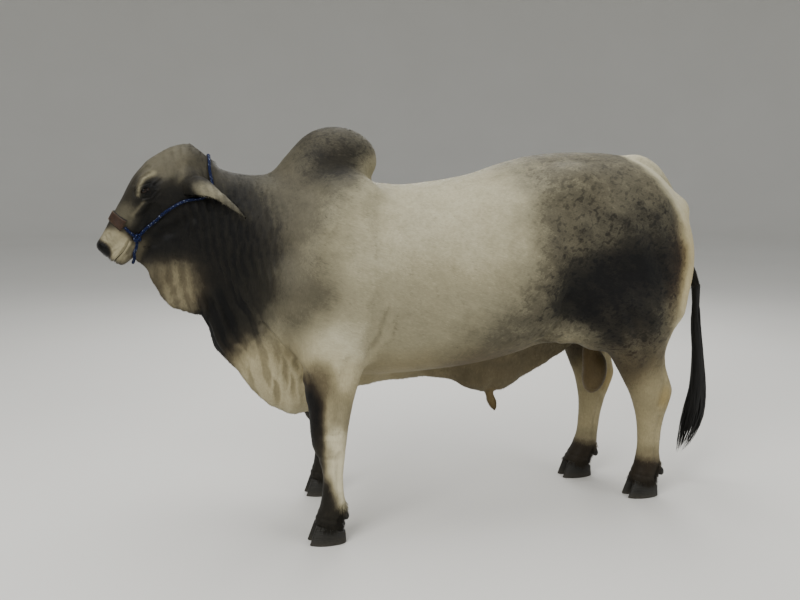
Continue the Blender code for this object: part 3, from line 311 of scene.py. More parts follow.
def noise(points: Array, size: float, seed: int = 0) -> Array:
    """Smooth random values from -1 to 1.

    Formula: every corner of a cubic lattice holds a hashed value, and a point gets the mix of its
    cell's eight corners, weighted by the cubic 3t^2 - 2t^3 along each axis.

    Args:
        points: places, one row each.
        size: the lattice's spacing in metres.
        seed: which pattern.

    Returns:
        One value for each point.
    """
    scaled = points / size + NOISE_SHIFT
    cell = np.floor(scaled).astype(np.int64)
    share = scaled - cell
    share = share * share * (3 - 2 * share)
    total = np.zeros(len(points))
    for corner in np.ndindex(2, 2, 2):
        i, j, k = (cell + corner).T
        code = (i * HASHES[0]) ^ (j * HASHES[1]) ^ (k * HASHES[2]) ^ (seed * HASHES[3])
        code = (code ^ (code >> 13)) * HASHES[4]
        value = ((code ^ (code >> 16)) & 0xFFFF) / 32767.5 - 1
        total += value * np.prod(np.where(corner, share, 1 - share), axis=1)
    return total


def layered_noise(points: Array, size: float, seed: int = 0) -> Array:
    """Three octaves of noise, each half as large and half as strong as the last."""
    return (noise(points, size, seed) + 0.5 * noise(points, size / 2, seed + 1)
            + 0.25 * noise(points, size / 4, seed + 2)) / 1.75


class Axes(Enum):
    """The directions that a form is given in."""

    BODY = "body"
    LEG = "leg"
    HEAD = "head"

    def read(self, points: Array) -> tuple[Array, Array, Array]:
        """A point's place along, across and up the form.

        Args:
            points: places in the body's axes, one row each.

        Returns:
            Along, across and up. A leg's run up it and from front to rear, the head's run down
            the face from the poll and from the face towards the throat.
        """
        x, y, z = points.T
        if self is Axes.BODY:
            return x, y, z
        if self is Axes.LEG:
            return z, y, x
        dx = x - POLL_X
        dz = z - POLL_Z
        down = -math.cos(HEAD_PITCH) * dx - math.sin(HEAD_PITCH) * dz
        back = math.sin(HEAD_PITCH) * dx - math.cos(HEAD_PITCH) * dz
        return down, y, back

    def place(self, along: Array, across: Array, up: Array) -> Array:
        """The points in the body's axes whose places along, across and up the form are given."""
        along, across, up = np.broadcast_arrays(along, across, up)
        if self is Axes.BODY:
            return np.stack((along, across, up), -1)
        if self is Axes.LEG:
            return np.stack((up, across, along), -1)
        x = POLL_X - math.cos(HEAD_PITCH) * along + math.sin(HEAD_PITCH) * up
        z = POLL_Z - math.sin(HEAD_PITCH) * along - math.cos(HEAD_PITCH) * up
        return np.stack((x, across, z), -1)


def head_point(down: float, across: float, back: float) -> Array:
    """One place given in the head's directions."""
    return Axes.HEAD.place(np.float64(down), np.float64(across), np.float64(back))


@dataclass(frozen=True)
class Ball:
    """An ellipsoid. Its tilt, in degrees, leans its top towards the tail, or the throat."""

    centre: tuple
    radii: tuple
    tilt: float = 0.0
    axes: Axes = Axes.BODY

    def distance(self, points: Array) -> Array:
        """Roughly how far a point is from the surface, negative inside.

        Formula: k (k - 1) / |grad k^2| with k the length of the point in units of the radii.
        """
        along, across, up = self.axes.read(points)
        v = across - self.centre[1]
        u, w = tilted(along - self.centre[0], up - self.centre[2], math.radians(self.tilt))
        a, b, c = self.radii
        near = np.sqrt((u / a) ** 2 + (v / b) ** 2 + (w / c) ** 2)
        steep = np.sqrt((u / a**2) ** 2 + (v / b**2) ** 2 + (w / c**2) ** 2)
        return near * (near - 1) / np.maximum(steep, 1e-9)

    def rings(self) -> Array:
        """Rings of the ellipsoid from pole to pole, by sine and cosine of two angles."""
        rise = np.linspace(-0.46 * math.pi, 0.46 * math.pi, 14)[:, None]
        turn = round_turn(24)
        u = np.cos(rise) * np.cos(turn) * self.radii[0]
        v = np.cos(rise) * np.sin(turn) * self.radii[1] + self.centre[1]
        u, w = tilted(u, np.sin(rise) * self.radii[2], -math.radians(self.tilt))
        return self.axes.place(u + self.centre[0], v, w + self.centre[2])


@dataclass(frozen=True)
class Loft:
    """Superellipse sections along a line.

    A station holds its place along the line, its high and low edge and its half-width, and, in a
    fifth column, the level where it is widest. The shear shifts the low end of a leg.
    """

    stations: tuple
    roundness: float = 2.2
    axes: Axes = Axes.BODY
    across: tuple = ((0.0, 0.0), (1.0, 0.0))
    shear: tuple = (0.0, 1.0)

    def section(self, along: Array) -> tuple:
        """The high and low edge, half-width, level and middle across of the section at a place."""
        table = np.array(self.stations)
        high, low, half = [curve(along, table[:, 0], table[:, k]) for k in (1, 2, 3)]
        level = (high + low) / 2
        if table.shape[1] > 4:
            level = curve(along, table[:, 0], table[:, 4])
        places, middles = np.array(self.across).T
        shift = self.shear[0] * np.clip(1 - along / self.shear[1], 0, 1)
        return high + shift, low + shift, half, level + shift, np.interp(along, places, middles)

    def distance(self, points: Array) -> Array:
        """Roughly how far a point is from the surface, negative inside.

        Formula: the point's radius in its section times 1 - 1/g, with g the superellipse's gauge.
        """
        along, across, up = self.axes.read(points)
        high, low, half, level, middle = self.section(along)
        u = across - middle + 1e-6
        w = up - level
        reach = np.where(w > 0, high - level, level - low)
        power = self.roundness
        gauge = (np.abs(u / half) ** power + np.abs(w / reach) ** power) ** (1 / power)
        side = np.sqrt(u * u + w * w) * (1 - 1 / np.maximum(gauge, 1e-6))
        ends = np.maximum(self.stations[0][0] - along, along - self.stations[-1][0])
        return np.maximum(side, ends)

    def rings(self) -> Array:
        """The sections as rings, by the superellipse's sine and cosine to a power."""
        first, last = self.stations[0][0], self.stations[-1][0]
        along = np.linspace(first, last, max(6, int((last - first) / 0.02)))[:, None]
        turn = round_turn(32)
        high, low, half, level, middle = self.section(along)
        power = 2 / self.roundness
        rise = np.sign(np.sin(turn)) * np.abs(np.sin(turn)) ** power
        up = level + rise * np.where(rise > 0, high - level, level - low)
        out = np.sign(np.cos(turn)) * np.abs(np.cos(turn)) ** power * half + middle
        return self.axes.place(along, out, up)


@dataclass(frozen=True)
class Fold:
    """A hanging sheet of skin with a round low edge, which grows thicker upwards.

    A station holds x, the low edge, the half-thickness there and the depth of the sheet. The sway
    is how far the low edge swings to each side, and how many turns of the wave a metre holds.
    """

    stations: tuple
    sway: tuple
    flare: float = 0.10

    def swing(self, x: Array, share: Array) -> Array:
        """How far the sheet swings to the side, for a share of its depth below its root."""
        size, waves = self.sway
        return size * share * (np.sin(waves * x + 3 * share) + 0.5 * np.sin(2.1 * waves * x + 1.1))

    def section(self, x: Array) -> tuple:
        """The low edge, its half-thickness, the depth and how steeply the edge runs."""
        table = np.array(self.stations)
        low, half, depth = [curve(x, table[:, 0], table[:, k]) for k in (1, 2, 3)]
        ahead = curve(x + 0.004, table[:, 0], table[:, 1])
        behind = curve(x - 0.004, table[:, 0], table[:, 1])
        return low, half, depth, np.sqrt(1 + ((ahead - behind) / 0.008) ** 2)

    def distance(self, points: Array) -> Array:
        """Roughly how far a point is from the surface, negative inside.

        Formula: the distance to the swinging middle sheet less its thickness, round at the edge.
        """
        x, y, z = points.T
        low, half, depth, steep = self.section(x)
        share = np.clip((low + depth - z) / depth, 0, 1)
        above = (z - low) / steep
        thick = half + self.flare * np.clip(above, 0, depth)
        side = np.hypot(np.maximum(thick - above, 0), y - self.swing(x, share)) - thick
        ends = np.maximum(self.stations[0][0] - x, x - self.stations[-1][0])
        return np.maximum(np.maximum(side, z - low - depth), ends)

    def rings(self) -> Array:
        """The sheet's sections as rings, half-ellipses that widen with the flare."""
        first, last = self.stations[0][0], self.stations[-1][0]
        x = np.linspace(first, last, int((last - first) / 0.01))[:, None]
        turn = round_turn(32)
        low, half, depth, _ = self.section(x)
        z = low + depth / 2 * (1 + np.sin(turn))
        share = np.clip((low + depth - z) / depth, 0, 1)
        y = (half + self.flare * (z - low)) * np.cos(turn) + self.swing(x, share)
        return Axes.BODY.place(x, y, z)


@dataclass(frozen=True)
class Tube:
    """A round rod along a line in the middle plane, such as the tail.

    A station holds x, z, the half-width and the half-depth.
    """

    stations: tuple

    def line(self, count: int) -> Array:
        """Even points along the line, with the half-width and half-depth there."""
        table = np.array(self.stations)
        reach = reach_along(table[:, :2])
        even = np.linspace(0, reach[-1], count)
        return np.stack([curve(even, reach, table[:, k]) for k in range(4)], 1)

    def distance(self, points: Array) -> Array:
        """How far a point is from the rod, the least over its straight stretches."""
        rows = self.line(26)
        x, y, z = points.T
        best = np.full(len(points), FAR)
        for (x0, z0, w0, d0), (x1, z1, w1, d1) in zip(rows, rows[1:]):
            dx, dz = x1 - x0, z1 - z0
            share = np.clip(((x - x0) * dx + (z - z0) * dz) / (dx * dx + dz * dz), 0, 1)
            width = w0 + share * (w1 - w0)
            depth = d0 + share * (d1 - d0)
            aside = np.hypot(x - x0 - share * dx, z - z0 - share * dz)
            gauge = np.hypot(y / width, aside / depth)
            best = np.minimum(best, (gauge - 1) * np.minimum(width, depth))
        return best

    def rings(self) -> Array:
        """Elliptic rings square to the line."""
        rows = self.line(40)
        ahead = unit(np.gradient(rows[:, :2], axis=0))
        turn = round_turn(16)
        out = rows[:, 3:4] * np.cos(turn)
        x = rows[:, 0:1] - ahead[:, 1:2] * out
        z = rows[:, 1:2] + ahead[:, 0:1] * out
        return Axes.BODY.place(x, rows[:, 2:3] * np.sin(turn), z)


@dataclass(frozen=True)
class Mass:
    """A form of the body, how wide its join is blended, on which sides, and whether it is carved out."""

    form: Ball | Loft | Fold | Tube
    blend: float
    sides: tuple = (1,)
    hollow: bool = False

    def distance(self, points: Array) -> Array:
        """The distance to the nearest of the mass's copies."""
        turned = points.copy()
        if len(self.sides) == 2:
            turned[:, 1] = np.sqrt(points[:, 1] ** 2 + MIRROR_BLEND**2)
        else:
            turned[:, 1] *= self.sides[0]
        return self.form.distance(turned)

    def shells(self) -> list[Array]:
        """The form's rings on each of its sides."""
        rings = self.form.rings()
        return [rings * np.array((1.0, side, 1.0)) for side in self.sides]


def head_ball(place: tuple, radii: tuple, blend: float, hollow: bool = False, tilt: float = 0.0) -> Mass:
    """A mass on both sides of the head, in the head's directions."""
    return Mass(Ball(place, radii, tilt, Axes.HEAD), blend, BOTH, hollow)


def smooth_union(a: Array, b: Array, blend: float) -> Array:
    """The smaller of two distances, rounded by the parabola blend * m * (1 - m) over the blend's width."""
    mix = np.clip(0.5 + 0.5 * (b - a) / blend, 0, 1)
    return b * (1 - mix) + a * mix - blend * mix * (1 - mix)


class Body:
    """The bull's masses, blended in order into one smooth form."""

    def __init__(self) -> None:
        """Lists the masses and works out the box that each can reach."""
        self.masses = self.legs_and_trunk() + self.folds() + self.head()
        self.boxes = []
        for mass in self.masses:
            corners = np.concatenate([shell.reshape(-1, 3) for shell in mass.shells()])
            margin = 0.10 + mass.blend
            self.boxes.append((corners.min(0) - margin, corners.max(0) + margin))

    @staticmethod
    def legs_and_trunk() -> list[Mass]:
        """Trunk, neck, hump, shoulders, brisket, haunches, tail and the four legs."""
        fore_line = ((0.30, FORE_SPREAD), (0.90, FORE_SPREAD - 0.055))
        hind_line = ((0.20, HIND_SPREAD), (0.70, HIND_SPREAD + 0.050), (0.90, HIND_SPREAD + 0.062))
        fore = Loft(FORELEG, axes=Axes.LEG, across=fore_line)
        far_fore = Loft(FORELEG, axes=Axes.LEG, across=fore_line, shear=(FAR_FORE_SHIFT, 0.9))
        hind = Loft(HIND_LEG, axes=Axes.LEG, across=hind_line)
        far_hind = Loft(HIND_LEG, axes=Axes.LEG, across=hind_line, shear=(FAR_HIND_SHIFT, FAR_HIND_TOP))
        return [
            Mass(Loft(TRUNK), 0.05),
            Mass(Loft(NECK, roundness=2.1), 0.10),
            Mass(Ball((0.012, 0.0, 1.415), (0.180, 0.128, 0.160)), 0.06),
            Mass(Ball((0.075, 0.0, 1.504), (0.173, 0.118, 0.133)), 0.030),
            Mass(Ball((0.050, 0.155, 1.190), (0.150, 0.118, 0.270), 22), 0.09, BOTH),
            Mass(Ball((-0.095, 0.175, 0.985), (0.120, 0.115, 0.165), 20), 0.08, BOTH),
            Mass(Ball((0.095, 0.205, 0.930), (0.140, 0.100, 0.190), -15), 0.07, BOTH),
            Mass(Ball((-0.500, 0.0, 1.180), (0.170, 0.062, 0.130), 35), 0.06),
            Mass(Ball((-0.150, 0.0, 0.860), (0.190, 0.165, 0.230)), 0.08),
            Mass(Ball((-0.085, 0.0, 0.665), (0.215, 0.112, 0.165)), 0.06),
            Mass(Ball((1.290, 0.150, 1.130), (0.280, 0.160, 0.320), -10), 0.09, BOTH),
            Mass(Ball((1.470, 0.145, 1.000), (0.165, 0.122, 0.280), 10), 0.08, BOTH),
            Mass(Ball((1.150, 0.195, 0.870), (0.140, 0.115, 0.180), -20), 0.09, BOTH),
            Mass(Ball((1.020, 0.232, 1.400), (0.085, 0.056, 0.058)), 0.10, BOTH),
            Mass(Ball((1.575, 0.105, 1.290), (0.060, 0.045, 0.050)), 0.08, BOTH),
            Mass(Ball((1.040, 0.245, 0.812), (0.130, 0.042, 0.055), -12), 0.08, BOTH),
            Mass(fore, 0.05, (-1,)),
            Mass(far_fore, 0.05, (1,)),
            Mass(hind, 0.06, (-1,)),
            Mass(far_hind, 0.06, (1,)),
            Mass(Tube(TAIL), 0.016),
        ]

    @staticmethod
    def folds() -> list[Mass]:
        """The dewlap, the fold under the belly with its sheath, and the scrotum."""
        return [
            Mass(Fold(DEWLAP, sway=(0.010, 34.0)), 0.040),
            Mass(Fold(UNDERLINE, sway=(0.006, 40.0), flare=0.16), 0.035),
            Mass(Ball((0.766, 0.0, 0.458), (0.021, 0.020, 0.052), -22), 0.030),
            Mass(Ball((1.268, 0.0, 0.545), (0.056, 0.058, 0.098), 10), 0.03),
            Mass(Ball((1.250, 0.0, 0.670), (0.042, 0.040, 0.110), 8), 0.03),
        ]

    @staticmethod
    def head() -> list[Mass]:
        """The skull with its jaw muscles, brows, orbits, cheek bones, nostrils, lips and chin."""
        lid = EYE_RADIUS + LID_THICKNESS
        return [
            Mass(Loft(HEAD, axes=Axes.HEAD), 0.05),
            head_ball((0.205, 0.058, 0.105), (0.095, 0.046, 0.080), 0.035),
            head_ball((0.195, 0.090, -0.036), (0.048, 0.024, 0.024), 0.020),
            head_ball(EYE_PLACE, (lid, lid, lid), 0.012),
            head_ball((0.275, 0.080, 0.022), (0.060, 0.020, 0.020), 0.025),
            head_ball((0.095, 0.098, 0.092), (0.036, 0.026, 0.044), 0.030),
            head_ball((0.482, 0.036, 0.012), (0.036, 0.034, 0.036), 0.016),
            head_ball((0.462, 0.040, 0.052), (0.054, 0.029, 0.024), 0.014),
            head_ball((0.478, 0.020, 0.090), (0.036, 0.034, 0.020), 0.012),
            head_ball((0.335, 0.099, 0.058), (0.078, 0.020, 0.034), 0.045, hollow=True),
            head_ball((0.140, 0.126, -0.020), (0.044, 0.020, 0.026), 0.035, hollow=True),
            head_ball((0.506, 0.036, 0.004), (0.026, 0.0085, 0.0135), 0.006, hollow=True, tilt=12),
        ]

    def distance(self, points: Array) -> Array:
        """The distance of points to the blended masses, negative inside.

        Args:
            points: places, one row each.

        Returns:
            The distance, which is only right near the surface. Each mass is read in its own box.
        """
        total = np.full(len(points), FAR)
        for mass, (low, high) in zip(self.masses, self.boxes):
            near = np.all((points > low) & (points < high), axis=1)
            if near.any():
                other = mass.distance(points[near])
                if mass.hollow:
                    total[near] = -smooth_union(-total[near], other, mass.blend)
                else:
                    total[near] = smooth_union(total[near], other, mass.blend)
        return total

    def slope(self, points: Array, here: Array) -> Array:
        """How the distance grows along each axis, by forward differences from the values here."""
        steps = np.eye(3) * SLOPE_STEP
        return np.stack([(self.distance(points + step) - here) / SLOPE_STEP for step in steps], 1)

    def normals(self, points: Array) -> Array:
        """The outward direction at each point."""
        slope = self.slope(points, self.distance(points))
        return slope / np.maximum(np.linalg.norm(slope, axis=1, keepdims=True), 1e-9)

    def settle(self, points: Array, lift: float = -COAT_DEPTH, rounds: int = 4) -> Array:
        """Moves points along the slope until they lie at the lift above the blended surface.

        Formula: Newton steps, each no longer than 20 mm.
        """
        for _ in range(rounds):
            here = self.distance(points)
            slope = self.slope(points, here)
            steep = np.maximum((slope**2).sum(1, keepdims=True), 0.05)
            move = (here[:, None] - lift) * slope / steep
            size = np.linalg.norm(move, axis=1, keepdims=True)
            points = points - move * np.minimum(1.0, LONGEST_MOVE / np.maximum(size, 1e-9))
        return points


@contextmanager
def editing(mesh: Mesh) -> Iterator[bmesh.types.BMesh]:
    """Opens a mesh for editing, and writes it back."""
    bm = bmesh.new()
    bm.from_mesh(mesh)
    yield bm
    bm.to_mesh(mesh)
    bm.free()


@dataclass
class Net:
    """A mesh in the making: points, and lists of faces, gathered from many surfaces."""

    points: list = field(default_factory=list)
    faces: list = field(default_factory=list)
    count: int = 0

    def add_rings(self, rings: Array, caps: bool = True) -> None:
        """Adds a surface through closed rings of points, with a flat cap at each end where asked.

        Formula: a quad joins a point and the next one of its ring to the same two of the next ring.
        """
        rows, columns = rings.shape[:2]
        self.points.append(rings.reshape(-1, 3))
        row, column = np.meshgrid(np.arange(rows - 1), np.arange(columns), indexing="ij")
        here, after = self.count + row * columns + column, self.count + row * columns + (column + 1) % columns
        quads = np.stack([corner.ravel() for corner in (here, after, after + columns, here + columns)], 1)
        self.faces += quads.tolist()
        if caps:
            first = self.count
            last = self.count + (rows - 1) * columns
            self.faces.append(list(range(first, first + columns))[::-1])
            self.faces.append(list(range(last, last + columns)))
        self.count += rows * columns

    def mesh(self, name: str) -> Mesh:
        """The gathered surfaces as one mesh, with its faces turned outwards."""
        mesh = bpy.data.meshes.new(name)
        mesh.from_pydata(np.concatenate(self.points).tolist(), [], self.faces)
        with editing(mesh) as bm:
            bmesh.ops.recalc_face_normals(bm, faces=bm.faces)
        return mesh


def link(name: str, mesh: ID) -> Object:
    """Adds an object with this mesh to the scene."""
    item = bpy.data.objects.new(name, mesh)
    bpy.context.scene.collection.objects.link(item)
    return item


def closed_form(name: str, rings: Array) -> Object:
    """A closed object through rings of points, with a flat cap at each end."""
    net = Net()
    net.add_rings(rings)
    return link(name, net.mesh(name))


def store(item: Object, word: str, values: Array) -> None:
    """Writes a value for each vertex of an object's mesh."""
    layer = item.data.attributes.new(word, "FLOAT", "POINT")
    layer.data.foreach_set("value", values.astype(np.float32).ravel())


def apply_modifiers(item: Object) -> Object:
    """Gives an object the mesh that its modifiers make, and takes the modifiers off."""
    bpy.context.view_layer.update()
    evaluated = item.evaluated_get(bpy.context.evaluated_depsgraph_get())
    mesh = bpy.data.meshes.new_from_object(evaluated)
    item.modifiers.clear()
    item.data = mesh
    return item


def mesh_points(item: Object) -> Array:
    """The vertices of an object's mesh as an array."""
    flat = np.empty(len(item.data.vertices) * 3, np.float32)
    item.data.vertices.foreach_get("co", flat)
    return flat.reshape(-1, 3).astype(float)


def set_points(item: Object, points: Array) -> None:
    """Moves the vertices of an object's mesh to the points."""
    item.data.vertices.foreach_set("co", points.astype(np.float32).ravel())
    item.data.update()


def shade_smooth(item: Object, angle: float = 50.0) -> None:
    """Smooth shading with sharp edges where faces meet at more than the angle, in degrees."""
    item.data.polygons.foreach_set("use_smooth", np.ones(len(item.data.polygons), bool))
    item.data.set_sharp_from_angle(angle=math.radians(angle))


def solve(item: Object, operation: str, other: Object) -> None:
    """Joins a closed object to this one, or cuts it out, and removes it."""
    boolean = item.modifiers.new("solve", "BOOLEAN")
    boolean.operation = operation
    boolean.solver = "MANIFOLD"
    boolean.object = other
    apply_modifiers(item)
    bpy.data.objects.remove(other)


def cut(item: Object, cutter: Object) -> None:
    """Takes a closed cutter out of the object and removes the cutter."""
    solve(item, "DIFFERENCE", cutter)


def unite(item: Object, other: Object) -> None:
    """Joins a closed object to this one and removes the other."""
    solve(item, "UNION", other)


def ellipsoid(middle: Array, radii: tuple, turn: Array = np.eye(3), segments: int = 40) -> Array:
    """Rings of an ellipsoid, turned by a matrix, from pole to pole along its own third axis.

    Args:
        middle: its middle.
        radii: its three radii.
        turn: a rotation matrix.
        segments: points in a ring.

    Returns:
        Rings of points, by sine and cosine of two angles.
    """
    rise = np.linspace(-0.49 * math.pi, 0.49 * math.pi, segments // 2)[:, None]
    around = round_turn(segments)
    ball = Axes.BODY.place(np.cos(rise) * np.cos(around), np.cos(rise) * np.sin(around), np.sin(rise))
    return ball * np.array(radii) @ turn.T + middle


def turned(axis: Array, angle: float) -> Array:
    """The matrix that turns by an angle, in degrees, about an axis, by Rodrigues' formula."""
    x, y, z = unit(np.array(axis, float))
    cross = np.array(((0, -z, y), (z, 0, -x), (-y, x, 0)))
    turn = math.radians(angle)
    return np.eye(3) + math.sin(turn) * cross + (1 - math.cos(turn)) * cross @ cross


HEAD_AXES = np.stack([head_point(*row) - head_point(0, 0, 0) for row in np.eye(3)], 1)


@dataclass(frozen=True)
class Zone:
    """A patch of the coat: an ellipse in the side view, or the head's side view, with its tone.

    Tone runs from 0, pale cream, to 1, black. The soft value is the width of the patch's fading
    edge, as a share of its radii, and across is the range of distances from the middle plane.
    """

    centre: tuple
    radii: tuple
    tone: float
    soft: float = 0.5
    strength: float = 1.0
    tilt: float = 0.0
    axes: Axes = Axes.BODY
    across: tuple = (-1.0, 1.0)
    rough: float = 0.12

    def cover(self, points: Array, wander: Array) -> Array:
        """How much of the patch covers each point, from 0 to its strength.

        Formula: the ellipse's gauge, shaken by noise, faded by the cubic 3t^2 - 2t^3.
        """
        along, across, up = self.axes.read(points)
        u, w = tilted(along - self.centre[0], up - self.centre[1], -math.radians(self.tilt))
        gauge = np.hypot(u / self.radii[0], w / self.radii[1]) + self.rough * wander
        inside = 1 - smooth(1 - self.soft, 1 + self.soft, gauge)
        return self.strength * inside * between(across, self.across, 0.02)


@dataclass(frozen=True)
class Drift:
    """A slow change of tone across a line that runs up the side view.

    The line holds levels and the x at each. The tone lies behind it, or ahead of it where the
    width, over which it fades, is negative.
    """

    line: tuple
    width: float
    tone: float
    strength: float = 1.0

    def cover(self, points: Array, wander: Array) -> Array:
        """How much of the tone covers each point, by the cubic 3t^2 - 2t^3 of the distance to the line."""
        x, _, z = points.T
        levels, places = np.array(self.line).T
        past = (x - curve(z, levels, places)) / self.width + 0.22 * wander
        return self.strength * smooth(-1.0, 1.0, past)


@dataclass(frozen=True)
class Streak:
    """A brushed line of the coat along points in the side view, with its width and tone."""

    line: tuple
    width: float
    tone: float
    strength: float = 1.0
    axes: Axes = Axes.HEAD
    across: tuple = (0.03, 1.0)

    def cover(self, points: Array, wander: Array) -> Array:
        """How much of the streak covers each point: a bell of the distance to the line."""
        along, across, up = self.axes.read(points)
        best = line_distance(np.stack((along, up), 1), np.array(self.line)) * (1 + 0.25 * wander)
        return self.strength * np.exp(-((best / self.width) ** 2)) * between(across, self.across, 0.015)


def line_distance(flat: Array, line: Array) -> Array:
    """The distance of flat or solid points to a line of straight stretches."""
    best = np.full(len(flat), FAR)
    for start, end in zip(line, line[1:]):
        run = end - start
        share = np.clip(((flat - start) @ run) / (run @ run), 0, 1)
        best = np.minimum(best, np.linalg.norm(flat - start - share[:, None] * run, axis=1))
    return best


class Markings:
    """Where the coat is pale, grey, charcoal or black, cream or brown, and where the skin is bare, with
    painted shade and light about the belly and painted shade in the wrinkles.
    """

    BASE_TONE = 0.24
    TONES: tuple = (
        # back, barrel and belly
        Zone((0.80, 1.50), (0.50, 0.10), 0.34, 0.8, 0.9),
        Zone((0.30, 1.22), (0.32, 0.17), 0.20, 0.8, 0.8),
        Zone((0.60, 1.26), (0.26, 0.20), 0.19, 0.8, 0.8),
        Zone((0.86, 1.24), (0.10, 0.11), 0.10, 0.7, 0.7),
        Zone((0.45, 0.92), (0.50, 0.14), 0.31, 0.8, 0.8),
        # Painted shade: the low barrel and the belly are darkened for the shade under the barrel.
        Zone((0.45, 0.69), (0.72, 0.14), 0.30, 0.7, 0.8),
        # Painted light: the fold under the belly and the sheath are paled to lift the shade that the barrel
        # casts on them.
        Zone((0.78, 0.53), (0.26, 0.13), 0.00, 0.6, 1.0, across=(-1.0, 0.1)),
        # neck, shoulder and hump
        Drift(((0.70, -0.36), (0.80, -0.29), (0.90, -0.19), (1.03, -0.10), (1.16, -0.05), (1.30, 0.00),
               (1.43, 0.07), (1.53, 0.21)), -0.17, 0.60),
        Drift(((0.74, -0.34), (0.89, -0.26), (1.03, -0.22), (1.16, -0.21), (1.30, -0.23), (1.45, -0.32)),
              -0.11, 0.94),
        Zone((-0.40, 1.46), (0.16, 0.06), 0.74, 0.6, 0.8),
        Zone((0.075, 1.515), (0.17, 0.090), 0.80, 0.6, 0.95, tilt=8),
        Zone((-0.02, 1.59), (0.16, 0.06), 0.68, 0.6, 0.7),
        Zone((0.23, 1.46), (0.08, 0.08), 0.27, 0.7, 0.9),
        Zone((-0.10, 1.49), (0.07, 0.06), 0.58, 0.7, 0.7),
        # throat and brisket
        Zone((-0.590, 1.00), (0.125, 0.13), 0.38, 0.45, 0.95, tilt=-25),
        Zone((-0.655, 1.07), (0.07, 0.07), 0.55, 0.5, 0.7),
        Zone((-0.165, 0.63), (0.20, 0.175), 0.17, 0.40, 0.95),
        Zone((-0.120, 0.84), (0.10, 0.12), 0.30, 0.6, 0.8),
        Zone((-0.070, 0.96), (0.12, 0.13), 0.58, 0.7, 0.8),
        # hindquarters
        Drift(((0.70, 0.44), (0.78, 0.51), (0.89, 0.61), (1.00, 0.73), (1.14, 0.82), (1.28, 0.82),
               (1.42, 0.86)), 0.19, 0.54, 0.95),
        Zone((1.22, 1.10), (0.34, 0.24), 0.78, 0.45, 0.85, tilt=14),
        Zone((1.19, 1.01), (0.27, 0.15), 1.00, 0.50, 1.0, tilt=14),
        Zone((1.13, 0.94), (0.17, 0.12), 1.00, 0.60, 1.0),
        Zone((1.25, 0.82), (0.14, 0.12), 0.92, 0.60, 1.0),
        Zone((1.30, 0.68), (0.085, 0.13), 0.66, 0.60, 0.9, tilt=10),
        Zone((1.20, 1.42), (0.30, 0.09), 0.56, 0.7, 0.7),
        Zone((1.00, 1.25), (0.16, 0.14), 0.60, 0.7, 0.7),
        Zone((1.02, 0.78), (0.12, 0.06), 0.46, 0.6, 0.8, tilt=-25),
        Drift(((0.60, 1.48), (0.80, 1.47), (0.95, 1.50), (1.10, 1.530), (1.26, 1.505), (1.38, 1.440),
               (1.50, 1.34)), 0.045, 0.12, 1.0),
        # forelegs
        Zone((0.02, 0.74), (0.13, 0.18), 0.13, 0.6, 0.9, across=(0.17, 1.0)),
        Zone((-0.055, 0.655), (0.060, 0.095), 0.52, 0.55, 0.9, across=(0.17, 1.0)),
        Zone((-0.085, 0.50), (0.052, 0.16), 0.99, 0.40, 1.0, across=(0.17, 1.0)),
        Zone((0.035, 0.52), (0.055, 0.10), 0.34, 0.5, 0.8, across=(0.17, 1.0)),
        Zone((0.015, 0.435), (0.042, 0.045), 0.06, 0.5, 0.95, across=(0.20, 1.0)),
        Zone((-0.058, 0.30), (0.026, 0.14), 0.80, 0.5, 0.95, across=(0.17, 1.0)),
        Zone((-0.030, 0.185), (0.050, 0.085), 0.88, 0.45, 1.0, tilt=-25, across=(0.17, 1.0)),
        Zone((0.030, 0.30), (0.042, 0.13), 0.00, 0.5, 0.95, across=(0.17, 1.0)),
        Zone((0.000, 0.09), (0.12, 0.060), 0.86, 0.35, 1.0, across=(0.17, 1.0)),
        # hind legs
        Zone((1.45, 0.46), (0.13, 0.15), 0.30, 0.5, 0.9),
        Zone((1.46, 0.28), (0.10, 0.14), 0.24, 0.5, 0.9),
        Zone((1.46, 0.19), (0.06, 0.05), 0.45, 0.6, 0.7),
        Zone((1.43, 0.11), (0.12, 0.065), 0.80, 0.4, 1.0),
        # scrotum and tail
        Zone((1.268, 0.54), (0.10, 0.15), 0.56, 0.2, 1.0, across=(-1.0, 0.075)),
        Zone((1.62, 1.34), (0.09, 0.16), 0.20, 0.5, 0.9, across=(-1.0, 0.045)),
        Zone((1.76, 0.96), (0.06, 0.12), 0.86, 0.5, 1.0, across=(-1.0, 0.06)),
        # head
        Zone((0.13, 0.06), (0.22, 0.17), 0.70, 0.35, 0.95, axes=Axes.HEAD),
        Zone((0.09, -0.03), (0.12, 0.07), 0.50, 0.6, 0.9, axes=Axes.HEAD),
        Zone((0.30, 0.10), (0.15, 0.115), 0.98, 0.40, 1.0, axes=Axes.HEAD),
        Zone((0.20, 0.17), (0.13, 0.12), 0.96, 0.45, 1.0, axes=Axes.HEAD),
        Zone((0.29, -0.04), (0.09, 0.045), 0.76, 0.5, 0.9, axes=Axes.HEAD),
        Zone((0.355, -0.005), (0.050, 0.045), 0.55, 0.6, 0.85, axes=Axes.HEAD),
        Zone((0.225, -0.002), (0.060, 0.040), 0.99, 0.4, 1.0, axes=Axes.HEAD, across=(0.06, 1.0)),
        Zone((0.455, 0.035), (0.055, 0.080), 0.34, 0.35, 1.0, axes=Axes.HEAD),
        Zone((0.470, 0.064), (0.045, 0.033), 0.22, 0.6, 0.85, axes=Axes.HEAD),
        Zone((0.440, 0.105), (0.07, 0.03), 0.50, 0.5, 0.9, axes=Axes.HEAD),
        Zone((0.509, 0.002), (0.034, 0.042), 1.00, 0.25, 1.0, axes=Axes.HEAD, rough=0.06),
        # ears
        Zone((-0.400, 1.385), (0.14, 0.055), 0.44, 0.3, 1.0, tilt=-38, across=(0.150, 1.0)),
        Zone((-0.345, 1.315), (0.06, 0.026), 0.64, 0.6, 0.9, tilt=-45, across=(0.160, 1.0)),
    )
